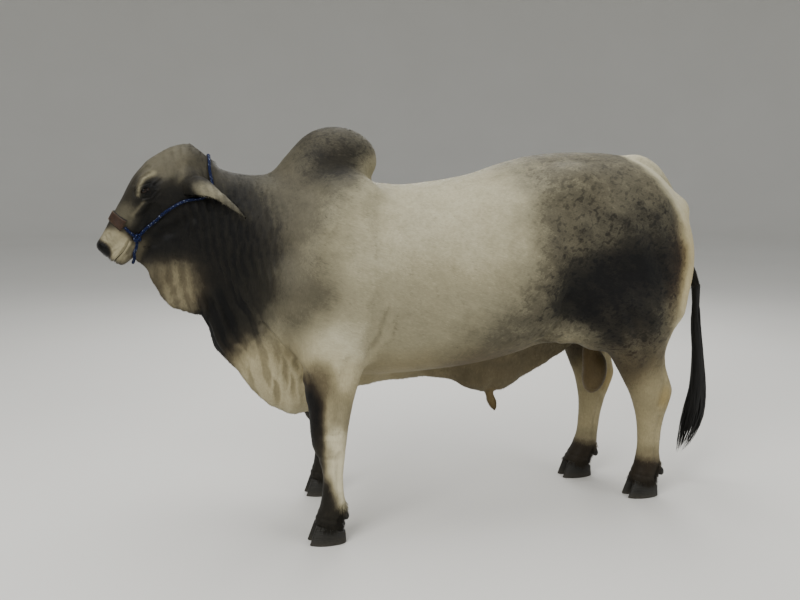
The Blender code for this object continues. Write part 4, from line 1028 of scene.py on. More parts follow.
    STREAKS: tuple = (
        Streak(((0.256, -0.018), (0.228, -0.035), (0.195, -0.039), (0.158, -0.026)), 0.011, 0.26, 0.75),
        Streak(((0.262, 0.012), (0.290, 0.012), (0.330, 0.012)), 0.009, 0.36, 0.55),
        Streak(((0.060, 0.035), (0.095, 0.060), (0.125, 0.062)), 0.012, 0.40, 0.4),
    )
    WARMTHS: tuple = (
        # Partly the belly's own tan and partly painted warm light, thrown up from the ground into the shade
        # under the barrel.
        Zone((0.60, 0.62), (0.70, 0.13), 0.45, 0.6, 0.9),
        Zone((-0.18, 0.64), (0.28, 0.17), 0.42, 0.5, 0.9),
        Zone((-0.57, 1.00), (0.12, 0.13), 0.35, 0.5, 0.9),
        Zone((0.78, 0.45), (0.07, 0.06), 0.80, 0.5, 1.0, across=(-1.0, 0.1)),
        Zone((1.27, 0.56), (0.10, 0.16), 1.0, 0.4, 1.0, across=(-1.0, 0.075)),
        Zone((1.40, 0.40), (0.25, 0.30), 0.55, 0.6, 0.8),
        Zone((1.50, 0.47), (0.04, 0.05), 1.0, 0.7, 0.8),
        Zone((1.57, 1.02), (0.12, 0.25), 0.80, 0.6, 0.8),
        Zone((0.02, 0.35), (0.10, 0.22), 0.35, 0.6, 0.7),
        Zone((0.45, 0.05), (0.08, 0.10), 0.25, 0.5, 0.9, axes=Axes.HEAD),
    )
    BARE: tuple = (
        Zone((0.509, 0.012), (0.024, 0.050), 1.0, 0.15, 1.0, axes=Axes.HEAD, rough=0.05),
        Zone((0.50, 0.070), (0.040, 0.012), 0.7, 0.5, 0.8, axes=Axes.HEAD, rough=0.05),
        Zone((1.268, 0.53), (0.085, 0.115), 0.15, 0.3, 1.0, across=(-1.0, 0.075), rough=0.05),
    )

    def blend(self, points: Array, base: float, patches: Sequence[Zone | Streak | Drift]) -> Array:
        """Lays the patches over a base value in order, each by its cover."""
        wander = layered_noise(points, 0.09, 11) + 0.5 * noise(points, 0.022, 5)
        total = np.full(len(points), base)
        for patch in patches:
            cover = patch.cover(points, wander)
            total += (patch.tone - total) * cover
        return total

    def tone(self, points: Array) -> Array:
        """The coat's tone, from 0, pale, to 1, black, with faint wide mottling, painted shade low on the
        barrel and painted light on the fold under the belly.
        """
        laid = self.blend(points, self.BASE_TONE, self.TONES + self.STREAKS)
        return np.clip(laid + 0.035 * layered_noise(points, 0.12, 21), 0, 1)

    def warmth(self, points: Array) -> Array:
        """How cream or tan the coat is, from 0 to 1; on the belly the tan is partly the coat's own and partly
        painted warm light from the ground.
        """
        return np.clip(self.blend(points, 0.12, self.WARMTHS) + 0.06 * layered_noise(points, 0.15, 31), 0, 1)

    def bare(self, points: Array) -> Array:
        """Where the skin is bare, from 0 to 1."""
        return self.blend(points, 0.0, self.BARE)

    @staticmethod
    def upright(points: Array) -> Array:
        """Where the hairs lie straight down, from 0 to 1: on the legs, the neck, the rump and the tail."""
        x, _, z = points.T
        neck = 1 - smooth(-0.20, 0.05, x)
        return np.maximum.reduce((1 - smooth(0.60, 0.85, z), smooth(1.35, 1.60, x), neck))

    @staticmethod
    def dapple(points: Array) -> Array:
        """How broken up the dark of the coat is: most on the hindquarters, less on the hump and shoulders."""
        x, _, z = points.T
        rump = smooth(0.45, 0.85, x) * smooth(0.58, 0.74, z) * (1 - smooth(1.52, 1.60, x))
        hump = smooth(1.32, 1.48, z) * (1 - smooth(0.30, 0.50, x)) * smooth(-0.22, -0.05, x)
        body = smooth(-0.30, 0.10, x) * smooth(0.62, 0.80, z) * (1 - smooth(1.52, 1.60, x))
        return np.maximum.reduce((rump, 0.45 * hump, 0.30 * body))

    @staticmethod
    def facial(points: Array) -> Array:
        """Where the hairs lie down the face, from 0 to 1."""
        down, _, back = Axes.HEAD.read(points)
        return smooth(0.0, 0.05, down) * (1 - smooth(0.12, 0.18, back)) * (1 - smooth(0.56, 0.60, down))

    @staticmethod
    def hollow(points: Array) -> Array:
        """How far down in a wrinkle of the skin a point lies, from 0 to 1; the coat is darkened there as
        painted shade.
        """
        wander = layered_noise(points, 0.05, 51)
        return smooth(0.0003, 0.0036, -sum(form.lift(points, wander) for form in Sculpt.RIPPLES))

    def put_on(self, item: Object, places: Array) -> None:
        """Writes the coat's values to an object's mesh, worked out at a place for each vertex."""
        marked = unsheared(places)
        for read in (self.tone, self.warmth, self.bare, self.upright, self.facial, self.hollow, self.dapple):
            store(item, read.__name__, read(marked))


def unsheared(points: Array) -> Array:
    """The points with the far legs moved to where the near legs stand, so that both are marked alike.

    Formula: the far legs' shear, taken off by a weight that grows from the middle plane outwards.
    """
    moved = points.copy()
    x, y, z = points.T
    side = smooth(0.03, 0.10, y)
    fore = np.clip(1 - z / 0.9, 0, 1) * FAR_FORE_SHIFT * (1 - smooth(0.35, 0.60, x))
    hind = np.clip(1 - z / FAR_HIND_TOP, 0, 1) * FAR_HIND_SHIFT * smooth(0.80, 1.00, x)
    moved[:, 0] -= side * (fore + hind)
    return moved


@dataclass(frozen=True)
class Crease:
    """A groove pressed into the skin along a line in the side view, with raised lips.

    A negative depth raises a ridge, such as a vein or a cheek bone.
    """

    line: tuple
    width: float
    depth: float
    lips: float = 0.35
    axes: Axes = Axes.BODY
    across: tuple = (0.03, 1.0)

    def lift(self, points: Array, wander: Array) -> Array:
        """How far the crease moves each point outwards.

        Formula: minus the depth times a bell of the distance to the line, plus a second bell
        beside it for the lips. The distance is shaken by noise.
        """
        along, across, up = self.axes.read(points)
        best = line_distance(np.stack((along, up), 1), np.array(self.line)) / self.width
        best = np.abs(best + 0.25 * wander)
        bells = self.lips * np.exp(-((best - 1.7) ** 2) / 0.6) - np.exp(-(best**2))
        return self.depth * between(across, self.across, 0.015) * bells


@dataclass(frozen=True)
class Ripple:
    """Parallel folds of loose skin inside a patch of the side view."""

    patch: Zone
    across_folds: tuple
    spacing: float
    height: float
    warp: float = 0.6

    def lift(self, points: Array, wander: Array) -> Array:
        """How far the folds move each point outwards: a sharpened sine along the folds' normal."""
        along, _, up = self.patch.axes.read(points)
        phase = (along * self.across_folds[0] + up * self.across_folds[1]) / self.spacing
        bend = self.warp * layered_noise(points, 3.0 * self.spacing, 41)
        wave = np.sin(2 * math.pi * (phase + bend))
        ridge = np.sign(wave) * np.abs(wave) ** 0.8 - 0.35 * np.cos(4 * math.pi * (phase + bend))
        return self.height * ridge * self.patch.cover(points, wander)


class Sculpt:
    """The folds, muscles, tendons, veins and wrinkles that the masses leave out."""

    RIPPLES: tuple = (
        Ripple(Zone((-0.34, 1.24), (0.20, 0.24), 1.0, 0.4, tilt=-12, across=(0.08, 1.0)), (0.99, 0.16), 0.030,
               0.0026),
        Ripple(Zone((-0.57, 1.02), (0.09, 0.12), 1.0, 0.4), (0.97, 0.22), 0.046, 0.0036, 0.7),
        Ripple(Zone((-0.38, 0.86), (0.15, 0.16), 1.0, 0.4, tilt=-45), (0.93, 0.36), 0.052, 0.0030, 0.7),
        Ripple(Zone((-0.20, 0.68), (0.12, 0.14), 1.0, 0.5, tilt=-20), (0.97, 0.30), 0.066, 0.0034, 0.8),
        Ripple(Zone((-0.16, 0.62), (0.14, 0.12), 1.0, 0.5, tilt=-20), (0.99, 0.05), 0.039, 0.0014, 0.9),
        Ripple(Zone((0.42, 1.05), (0.42, 0.26), 1.0, 0.6), (0.97, 0.24), 0.085, 0.0009, 0.15),
        Ripple(Zone((0.74, 0.58), (0.22, 0.10), 1.0, 0.5), (0.86, -0.5), 0.050, 0.0008, 0.4),
        Ripple(Zone((1.26, 0.54), (0.07, 0.12), 1.0, 0.4, across=(-1.0, 0.1)), (0.1, 1.0), 0.014,
               0.0008, 0.5),
        Ripple(Zone((0.07, 0.05), (0.08, 0.08), 1.0, 0.5, axes=Axes.HEAD, across=(0.03, 1.0)), (0.75, -0.66),
               0.036, 0.0012, 0.4),
    )
    CREASES: tuple = (
        # shoulder, elbow and brisket
        Crease(((-0.04, 1.37), (-0.12, 1.15), (-0.13, 0.98)), 0.040, 0.007, across=(0.12, 1.0)),
        Crease(((0.20, 1.32), (0.235, 1.10), (0.19, 0.90), (0.17, 0.80)), 0.038, 0.008, across=(0.12, 1.0)),
        Crease(((0.00, 1.20), (0.05, 1.02), (0.00, 0.88)), 0.035, 0.004, across=(0.12, 1.0)),
        Crease(((-0.25, 0.87), (-0.16, 0.77), (-0.09, 0.68)), 0.014, 0.009, across=(0.06, 1.0)),
        Crease(((-0.30, 0.95), (-0.22, 0.84), (-0.14, 0.74)), 0.012, 0.005, across=(0.06, 1.0)),
        Crease(((0.14, 0.74), (0.20, 0.83), (0.22, 0.93)), 0.014, 0.008, across=(0.10, 1.0)),
        # back, flank and thigh
        Crease(((0.70, 1.42), (0.95, 1.44), (1.10, 1.44)), 0.040, 0.003, across=(0.16, 1.0)),
        Crease(((0.90, 1.30), (0.98, 1.12), (0.97, 0.95)), 0.050, 0.010, across=(0.16, 1.0)),
        Crease(((0.86, 0.74), (0.94, 0.84), (0.97, 0.95)), 0.016, 0.009, across=(0.18, 1.0)),
        Crease(((0.95, 0.76), (1.02, 0.84), (1.06, 0.93)), 0.014, 0.006, across=(0.18, 1.0)),
        Crease(((1.30, 1.25), (1.40, 1.02), (1.41, 0.82)), 0.034, 0.008, across=(0.12, 1.0)),
        Crease(((1.47, 1.30), (1.52, 1.10), (1.50, 0.90)), 0.030, 0.005, across=(0.10, 1.0)),
        Crease(((1.24, 0.88), (1.31, 0.74), (1.40, 0.62)), 0.022, 0.006, across=(0.10, 1.0)),
        Crease(((0.30, 0.93), (0.45, 0.85), (0.62, 0.80)), 0.006, -0.0028, 0.1, across=(0.20, 1.0)),
        # foreleg: forearm, knee, cannon and pastern
        Crease(((0.06, 0.74), (0.03, 0.62), (0.02, 0.50)), 0.020, 0.005, across=(0.15, 1.0)),
        Crease(((0.022, 0.37), (0.018, 0.28), (0.022, 0.18)), 0.010, 0.006, across=(0.15, 1.0)),
        Crease(((-0.050, 0.455), (0.02, 0.452)), 0.012, 0.003, across=(0.0, 1.0)),
        Crease(((-0.050, 0.350), (0.03, 0.352)), 0.012, 0.003, across=(0.0, 1.0)),
        Crease(((0.03, 0.135), (0.06, 0.130)), 0.010, -0.004, across=(0.0, 1.0)),
        Crease(((-0.06, 0.115), (0.04, 0.092)), 0.006, 0.0025, across=(0.0, 1.0)),
        # hind leg: hock, cannon and pastern
        Crease(((1.475, 0.62), (1.485, 0.53), (1.47, 0.44)), 0.012, 0.007, across=(0.08, 1.0)),
        Crease(((1.480, 0.38), (1.478, 0.28), (1.482, 0.18)), 0.010, 0.006, across=(0.08, 1.0)),
        Crease(((1.40, 0.53), (1.44, 0.50)), 0.014, 0.003, across=(0.0, 1.0)),
        Crease(((1.38, 0.115), (1.50, 0.090)), 0.006, 0.0025, across=(0.0, 1.0)),
        # face: cheek bone, veins, temple, jaw, nose and lips
        *(Crease(line, width, depth, lips, Axes.HEAD, across) for line, width, depth, lips, across in (
            (((0.262, 0.026), (0.320, 0.036), (0.385, 0.045)), 0.010, -0.0045, 0.2, (0.04, 1.0)),
            (((0.290, 0.052), (0.345, 0.070), (0.400, 0.060)), 0.0045, -0.0022, 0.1, (0.04, 1.0)),
            (((0.345, 0.070), (0.350, 0.100), (0.330, 0.125)), 0.0045, -0.0020, 0.1, (0.04, 1.0)),
            (((0.150, -0.052), (0.190, -0.062), (0.235, -0.052)), 0.006, 0.0030, 0.6, (0.05, 1.0)),
            (((0.165, -0.036), (0.198, -0.047), (0.236, -0.040)), 0.0040, 0.0026, 0.6, (0.06, 1.0)),
            (((0.205, 0.020), (0.232, 0.020), (0.256, 0.002)), 0.0040, 0.0026, 0.6, (0.06, 1.0)),
            (((0.196, 0.034), (0.232, 0.034), (0.268, 0.010)), 0.0050, 0.0020, 0.6, (0.06, 1.0)),
            (((0.250, -0.022), (0.270, -0.010), (0.292, 0.010)), 0.0045, 0.0024, 0.5, (0.05, 1.0)),
            (((0.155, 0.010), (0.190, 0.004)), 0.0045, 0.0024, 0.5, (0.06, 1.0)),
            (((0.300, 0.135), (0.260, 0.165), (0.200, 0.185)), 0.020, 0.007, 0.4, (0.03, 1.0)),
            (((0.385, 0.068), (0.420, 0.082), (0.452, 0.086)), 0.007, 0.0030, 0.5, (0.03, 1.0)),
            (((0.455, -0.016), (0.468, 0.006), (0.474, 0.030)), 0.0040, 0.0022, 0.6, (0.03, 1.0)),
            (((0.440, -0.010), (0.453, 0.012), (0.458, 0.036)), 0.0045, 0.0016, 0.6, (0.03, 1.0)),
            (((0.470, 0.046), (0.500, 0.042), (0.515, 0.040)), 0.0035, 0.0016, 0.6, (0.0, 1.0)),
            (((0.415, 0.062), (0.450, 0.0665), (0.4825, 0.0685), (0.5105, 0.0677),
              (0.535, 0.064), (0.552, 0.060)),
             0.0055, 0.0030, 0.7, (0.0, 1.0)),
        )),
    )

    @staticmethod
    def lids(points: Array) -> Array:
        """How far the lids' rims and the fold above them stand out round each eye.

        Formula: bells of the gauge of the tilted ellipse between the lids.
        """
        down, across, back = Axes.HEAD.read(points)
        gauge = lid_gauge(down, back)
        near = smooth(0.055, 0.065, np.abs(across)) * (gauge < 5)
        upper = smooth(-0.3, 0.5, -(back - EYE_PLACE[2]) / 0.01)
        bells = ((0.0010, 1.25, 0.06), (0.0018, 1.75, 0.09), (-0.0022, 2.25, 0.05), (-0.0014, 2.0, 0.05))
        rim, ridge, groove, low = (size * np.exp(-((gauge - middle) ** 2) / spread)
                                   for size, middle, spread in bells)
        return near * (rim + upper * (ridge + groove) + (1 - upper) * low)

    def lift(self, places: Array) -> Array:
        """How far all the creases, ripples and lids move each place outwards."""
        wander = layered_noise(places, 0.05, 51)
        lift = self.lids(places) + 0.0012 * layered_noise(places, 0.16, 61)
        for form in self.RIPPLES + self.CREASES:
            lift += form.lift(places, wander)
        return lift - np.maximum(lift - 0.004, 0) * 0.6

    def carve(self, body: Body, points: Array) -> Array:
        """Moves the skin's points along their outward directions by the lift.

        Args:
            body: the masses, for the outward directions.
            points: the skin's points.

        Returns:
            The moved points.
        """
        return points + self.lift(unsheared(points))[:, None] * body.normals(points)


def lid_gauge(down: Array, back: Array) -> Array:
    """The gauge of the tilted ellipse between the lids: 1 on its edge."""
    along, high = tilted(down - EYE_PLACE[0], back - EYE_PLACE[2], LID_TILT)
    return np.hypot(along / LID_RADII[0], high / LID_RADII[1])


@dataclass
class Skin:
    """The bull's skin: one closed surface over all its flesh but the ears, finer on the head."""

    body: Body
    voxel: float = VOXEL
    nodes: tuple = (
        "head", "neck", "dewlap", "hump", "chest", "barrel", "hindquarters", "sheath", "scrotum", "tail",
        "foreleg_left_upper", "foreleg_left_lower", "foreleg_right_upper", "foreleg_right_lower",
        "hindleg_left_upper", "hindleg_left_lower", "hindleg_right_upper", "hindleg_right_lower",
        "ear_left", "ear_right",
    )

    def fused(self) -> Object:
        """The masses' shells, fused to one closed skin by voxels."""
        net = Net()
        for mass in self.body.masses:
            if not mass.hollow:
                for shell in mass.shells():
                    net.add_rings(shell)
        item = link("bull_skin", net.mesh("bull_skin"))
        remesh = item.modifiers.new("fuse", "REMESH")
        remesh.mode = "VOXEL"
        remesh.voxel_size = self.voxel
        return apply_modifiers(item)

    @staticmethod
    def on_head(points: Array) -> Array:
        """Picks the points of the head."""
        down, _, back = Axes.HEAD.read(points)
        return (down > -0.04) & (down < 0.56) & (back < 0.22)

    @staticmethod
    def on_folds(points: Array) -> Array:
        """Picks the points of the dewlap, the brisket, the sheath, the scrotum and the feet."""
        x, y, z = points.T
        dewlap = (x < -0.02) & (z < 1.32 + 1.1 * (x + 0.20)) & (z < 1.12) & (z > 0.42) & (np.abs(y) < 0.22)
        purse = (np.abs(x - 1.265) < 0.08) & (np.abs(y) < 0.07) & (z > 0.42) & (z < 0.62)
        sheath = (np.abs(x - 0.77) < 0.07) & (np.abs(y) < 0.05) & (z < 0.53) & (z > 0.38)
        return dewlap | purse | sheath | (z < 0.46) & (z > 0.06)

    @staticmethod
    def on_face(points: Array) -> Array:
        """Picks the points round the eyes and on the muzzle."""
        down, across, back = Axes.HEAD.read(points)
        eye = (np.hypot(down - EYE_PLACE[0], back - EYE_PLACE[2]) < 0.056) & (np.abs(across) > 0.055)
        muzzle = (down > 0.415) & (back < 0.13)
        return (eye | muzzle) & (down < 0.56)

    @staticmethod
    def on_lids(points: Array) -> Array:
        """Picks the points of the lids and the nostrils."""
        down, across, back = Axes.HEAD.read(points)
        lids = (lid_gauge(down, back) < 2.6) & (np.abs(across) > 0.06)
        nostril = (np.hypot(down - 0.500, back - 0.004) < 0.030) & (np.abs(np.abs(across) - 0.037) < 0.022)
        return lids | nostril & (down > 0.46)

    @staticmethod
    def refine(item: Object, fine: Callable[[Array], Array]) -> None:
        """Splits the faces whose corners the test picks out, one level."""
        chosen = fine(mesh_points(item))
        with editing(item.data) as bm:
            edges = [edge for edge in bm.edges if all(chosen[end.index] for end in edge.verts)]
            bmesh.ops.subdivide_edges(bm, edges=edges, cuts=1, use_grid_fill=True)

    def open_eyes(self, item: Object) -> None:
        """Cuts the sockets for the eyeballs and the openings between the lids."""
        for _, side in SIDES:
            middle = head_point(EYE_PLACE[0], side * EYE_PLACE[1], EYE_PLACE[2])
            cut(item, closed_form("socket", ellipsoid(middle, (EYE_RADIUS + GAP,) * 3)))
            outside = head_point(EYE_PLACE[0], side * (EYE_PLACE[1] + 0.024), EYE_PLACE[2])
            turn = HEAD_AXES @ turned((0, 1, 0), math.degrees(LID_TILT))
            cut(item, closed_form("opening", ellipsoid(outside, (LID_RADII[0], 0.021, LID_RADII[1]), turn)))

    @staticmethod
    def part_lips(item: Object) -> None:
        """Cuts the line of the mouth, a thin wedge round the muzzle from corner to corner.

        Formula: four corners carried round half an ellipse in the head's directions.
        """
        turn = np.linspace(-0.5 * math.pi, 0.5 * math.pi, 61)
        level = 0.062 + 0.020 * np.sin(turn) ** 2 * np.cos(turn) - 0.002 * np.cos(turn)
        level = level + 0.0009 * np.sin(9 * turn)
        outer, inner = (0.135, 0.088), (0.088, 0.052)
        corners = [
            Axes.HEAD.place(0.415 + long * np.cos(turn), wide * np.sin(turn), level + height)
            for (long, wide), height in ((outer, -0.0024), (outer, 0.0024), (inner, 0.0006), (inner, -0.0006))
        ]
        cut(item, closed_form("mouth", np.stack(corners, 1)))

    def build(self) -> Object:
        """Makes the skin.

        Returns:
            The skin in the body's axes, with its eyes, mouth and coronets cut.
        """
        item = self.fused()
        set_points(item, self.body.settle(mesh_points(item)))
        for finer in (self.on_head, self.on_folds, self.on_face, self.on_lids):
            self.refine(item, finer)
        with editing(item.data) as bm:
            bmesh.ops.triangulate(bm, faces=[face for face in bm.faces if len(face.verts) > 4])
        set_points(item, self.body.settle(mesh_points(item), rounds=3))
        set_points(item, Sculpt().carve(self.body, mesh_points(item)))
        soften = item.modifiers.new("soften", "SMOOTH")
        soften.factor = 0.5
        soften.iterations = 1
        apply_modifiers(item)
        for hoof in FEET.values():
            cut(item, hoof.block(below=True))
        for _, side in SIDES:
            unite(item, Ear(side).build())
        self.open_eyes(item)
        self.part_lips(item)
        return item

    @staticmethod
    def mark(item: Object) -> None:
        """Writes the coat's markings and lie to the skin, and smooths its shading."""
        Markings().put_on(item, mesh_points(item))
        shade_smooth(item, 55)


@dataclass(frozen=True)
class Hoof:
    """A foot: the place under its coronet's middle, and how far behind it the dewclaws sit."""

    name: str
    x: float
    y: float
    heel: float

    def block(self, below: bool) -> Object:
        """A block that ends at the coronet, a plane that slopes down to the heels.

        Args:
            below: whether the block holds what lies below the plane, or what lies above it.

        Returns:
            The closed block.
        """
        corners = np.array(((-0.16, -0.065), (0.16, -0.065), (0.16, 0.065), (-0.16, 0.065)))
        levels = (-0.20 + GAP, GAP) if below else (0.0, 0.20)
        rings = np.stack([np.column_stack((corners, np.full(4, level))) for level in levels])
        rings = rings @ turned((0, 1, 0), math.degrees(CORONET_SLOPE)).T
        return closed_form("coronet", rings + (self.x, self.y, CORONET_HEIGHT))

    def claw(self, side: int) -> Object:
        """One claw: a wall that slopes to the toe, with growth rings, a flat sole and a straight inner side.

        Formula: half-ellipses whose toe and heel draw in with the height. The ripple of the growth
        rings is two sines of the height.
        """
        turn = round_turn(64)
        level = np.concatenate(((0.0, 0.0015, 0.004), np.linspace(0.007, 0.110, 44)))[:, None]
        share = level / 0.070
        edge = 0.004 * np.clip(1 - level / 0.004, 0, 1) ** 1.5
        rings = 0.0005 * np.sin(level * 900) + 0.0004 * np.sin(level * 1730 + 1)
        toe = -0.084 + 0.026 * share + edge - rings
        heel = 0.064 - 0.004 * share - edge + rings
        half = CLAW_HALF_WIDTH + 0.0025 * (1 - share) - edge / 2 + 0.6 * rings
        along = (toe + heel) / 2 + (heel - toe) / 2 * np.sign(np.cos(turn)) * np.abs(np.cos(turn)) ** 0.85
        taper = 1 - 0.42 * np.clip((-0.015 - along) / 0.07, 0, 1) ** 1.6
        across = CLEFT / 2 + half + half * taper * np.sin(turn)
        across = np.maximum(across, CLEFT / 2 + 0.05 * np.clip(-0.02 - along, 0, 1))
        item = closed_form("claw", Axes.BODY.place(self.x + along, self.y + side * across, level))
        cut(item, self.block(below=False))
        return item

    def dewclaw(self, side: int) -> Object:
        """One dewclaw: a blunt cone of horn, leaning back, with growth rings."""
        middle = np.array((self.x + self.heel, self.y + side * 0.023, DEWCLAW_HEIGHT))
        rings = ellipsoid(np.zeros(3), (0.015, 0.012, 0.021), segments=36)
        ripple = 1 + 0.025 * np.sin(rings[..., 2:3] * 1500)
        return closed_form("dewclaw", (rings * ripple) @ turned((0, 1, 0), -20).T + middle)

    def build(self) -> Object:
        """Both claws and both dewclaws of the foot as one object."""
        items = [make(side) for make in (self.claw, self.dewclaw) for side in BOTH]
        return joined(f"claws_{self.name}", items)

    def nodes(self) -> list[str]:
        """The names of the solids that the foot's horn stands for."""
        return [f"{kind}_{self.name}_{word}" for kind in ("claw", "dewclaw") for word in ("outer", "inner")]


FEET = {
    "fore_left": Hoof("fore_left", -0.014, -FORE_SPREAD, 0.062),
    "fore_right": Hoof("fore_right", -0.014 + FAR_FORE_SHIFT * 0.92, FORE_SPREAD, 0.062),
    "hind_left": Hoof("hind_left", 1.447, -HIND_SPREAD, 0.078),
    "hind_right": Hoof("hind_right", 1.447 + FAR_HIND_SHIFT * 0.92, HIND_SPREAD, 0.086),
}


def joined(name: str, items: list[Object]) -> Object:
    """Several objects' meshes as one object, with the others removed."""
    bm = bmesh.new()
    for item in items:
        bm.from_mesh(item.data)
        bpy.data.objects.remove(item)
    mesh = bpy.data.meshes.new(name)
    bm.to_mesh(mesh)
    bm.free()
    return link(name, mesh)


@dataclass(frozen=True)
class Ear:
    """A long drooping ear: a leaf, curled to a tube at its root, that leans out, back and down."""

    side: int
    rows: int = 64
    columns: int = 30

    def line(self, share: Array) -> tuple[Array, Array]:
        """The ear's middle line and its direction, a quadratic curve from the root to the tip."""
        root = head_point(0.092, self.side * 0.074, 0.088)
        bend = np.array((-0.414, self.side * 0.198, 1.385))
        tip = np.array((-0.308, self.side * 0.222, 1.296))
        share = share[..., None]
        middle = (1 - share) ** 2 * root + 2 * share * (1 - share) * bend + share**2 * tip
        ahead = 2 * (1 - share) * (bend - root) + 2 * share * (tip - bend)
        return middle, unit(ahead)

    def rings(self) -> Array:
        """Sections of the ear from root to tip: an arc outside, and the same arc a wall's width inside.

        Formula: arcs whose half-width follows a sine of the share along the ear and whose curl
        opens towards the tip. Ribs inside and a wavy rim are sines of the turn and the share.
        """
        share = np.linspace(0, 1, self.rows)
        middle, ahead = self.line(share)
        back = np.array((0.25, self.side * 0.50, 0.83)) + np.zeros_like(ahead)
        back = unit(back - (back * ahead).sum(1, keepdims=True) * ahead)
        width = np.cross(ahead, back)
        half = 0.050 * (0.66 + 0.34 * np.sin(math.pi * np.minimum(1, share * 1.7 + 0.1)))
        half = half * (1 - share**1.9) + 0.003
        curl = 2.3 - 1.5 * np.minimum(1, share * 1.7)
        radius = (half / np.sin(np.minimum(curl, math.pi / 2)))[:, None]
        wall = (0.0048 - 0.0022 * share)[:, None]
        spread = np.linspace(-1, 1, self.columns)[None, :]
        turn = spread * curl[:, None]
        thin = wall * (0.25 + 0.75 * np.clip((1 - np.abs(spread)) / 0.15, 0, 1) ** 0.5)
        rib = 0.0010 * np.sin(8 * spread + 2.0) * smooth(0.1, 0.4, share)[:, None] * (1 - spread**2)
        wave = 0.0015 * np.sin(17 * share)[:, None] * spread**4
        outer = radius + wave
        inner = np.maximum(radius - thin + rib + wave, 0.2 * radius)

        def arc(reach: Array, angle: Array) -> Array:
            """Points of an arc in every section."""
            out = reach * np.sin(angle)
            rise = reach * np.cos(angle) - 0.4 * radius
            return middle[:, None] + out[..., None] * width[:, None] + rise[..., None] * back[:, None]

        return np.concatenate((arc(outer, turn), arc(inner, turn[:, ::-1])), 1)

    def build(self) -> Object:
        """The ear as a closed leaf."""
        return closed_form("ear", self.rings())


class Region:
    """Where the growths of the coat root: shares from 0 to 1 at places with their outward directions."""

    @staticmethod
    def ear(places: Array, _: Array | None = None) -> Array:
        """The ears but their roots."""
        share = np.linspace(0.22, 1.0, 9)
        near = np.full(len(places), FAR)
        for _, side in SIDES:
            for point in Ear(side).line(share)[0]:
                near = np.minimum(near, np.linalg.norm(places - point, axis=1))
        return ((near < 0.058) & (np.abs(places[:, 1]) > 0.122)).astype(float)

    @staticmethod
    def head(places: Array, _: Array) -> Array:
        """The head but its nose pad, thickest on the face."""
        down, _, back = Axes.HEAD.read(places)
        inside = (down > 0.0) & (down < 0.56) & (back < 0.19)
        nose_pad = np.hypot(down - 0.515, back - 0.002)
        return inside * (1 - Region.ear(places)) * smooth(0.0, 0.06, nose_pad - 0.010)

    @staticmethod
    def leg(places: Array, _: Array) -> Array:
        """The legs below the elbows and the stifles."""
        x, y, z = places.T
        fore = (np.abs(x - 0.01) < 0.20) & (np.abs(y) > 0.14)
        hind = (x > 1.10) & (np.abs(y) > 0.045)
        return np.where(x < 0.5, fore, hind) * (z < 0.66) * (z > 0.060)

    @staticmethod
    def tail(places: Array, _: Array) -> Array:
        """The hanging tail."""
        x, y, z = places.T
        return ((x > 1.62) & (np.abs(y) < 0.055) & (z < 1.32)).astype(float)

    @staticmethod
    def rest(places: Array, outward: Array) -> Array:
        """All but the head, the ears, the legs, the tail, the scrotum, the nose pad and the coronets."""
        others = [part(places, outward) > 0 for part in (Region.ear, Region.head, Region.leg, Region.tail)]
        x, y, z = places.T
        purse = (np.abs(x - 1.265) < 0.10) & (np.abs(y) < 0.075) & (z < 0.64)
        down, _, back = Axes.HEAD.read(places)
        nose = (down > 0.44) & (down < 0.56) & (back < 0.19)
        return (1.0 - np.logical_or.reduce(others + [purse, nose])) * (z > 0.060)

    @staticmethod
    def neck(places: Array, outward: Array) -> Array:
        """The neck and the dewlap."""
        x, _, z = places.T
        return Region.rest(places, outward) * (x < np.where(z > 1.0, -0.12, 0.02))

    @staticmethod
    def shoulder(places: Array, outward: Array) -> Array:
        """The shoulders, the hump and the front of the barrel."""
        x = places[:, 0]
        return Region.rest(places, outward) * (1 - (Region.neck(places, outward) > 0)) * (x < 0.62)

    @staticmethod
    def rump(places: Array, outward: Array) -> Array:
        """The back of the barrel and the hindquarters."""
        return Region.rest(places, outward) * (places[:, 0] >= 0.62)

    @staticmethod
    def crest(places: Array, outward: Array) -> Array:
        """The top line from the poll over the hump to the tail, and the ridge of the brow."""
        return smooth(0.45, 0.85, outward[:, 2]) * (places[:, 2] > 1.30) * (np.abs(places[:, 1]) < 0.16)

    @staticmethod
    def fringe(places: Array, outward: Array) -> Array:
        """The edges of the dewlap, the middle of the brisket and belly, and the sheath's tip."""
        x, y, z = places.T
        edge = (x < 0.10) & (z < 1.14) & (np.abs(y) < 0.035) * (np.abs(outward[:, 1]) < 0.75)
        belly = (x >= 0.10) & (x < 1.0) & (z < 0.80) & (np.abs(y) < 0.06) & (outward[:, 2] < -0.4)
        tip = (np.abs(x - 0.77) < 0.04) & (z < 0.47)
        return Region.rest(places, outward) * (edge * 0.8 + belly * 0.35 + tip * 3.0)

    @staticmethod
    def rim(places: Array, outward: Array) -> Array:
        """The rims of the ears and their hollows, which face forwards and down."""
        return Region.ear(places) * (0.15 + smooth(-0.1, 0.5, -outward[:, 2] - 0.5 * outward[:, 0]))

    @staticmethod
    def foot(places: Array, outward: Array) -> Array:
        """The coronets, and the backs of the fetlocks round the dewclaws."""
        z = places[:, 2]
        low = (z < 0.088) & (z > 0.045)
        back = (z < 0.165) & (z > 0.075) & (outward[:, 0] > 0.35)
        return (low | back) * (np.abs(places[:, 1]) > 0.05) * (outward[:, 2] > -0.6)

    @staticmethod
    def lash(places: Array, _: Array) -> Array:
        """The edge of each upper lid."""
        down, across, back = Axes.HEAD.read(places)
        gauge = lid_gauge(down, back)
        upper = (down - EYE_PLACE[0]) * math.cos(HEAD_PITCH) + (back - EYE_PLACE[2]) * 0.3 < -0.002
        return ((gauge > 0.92) & (gauge < 1.22) & upper & (np.abs(across) > 0.07)).astype(float)


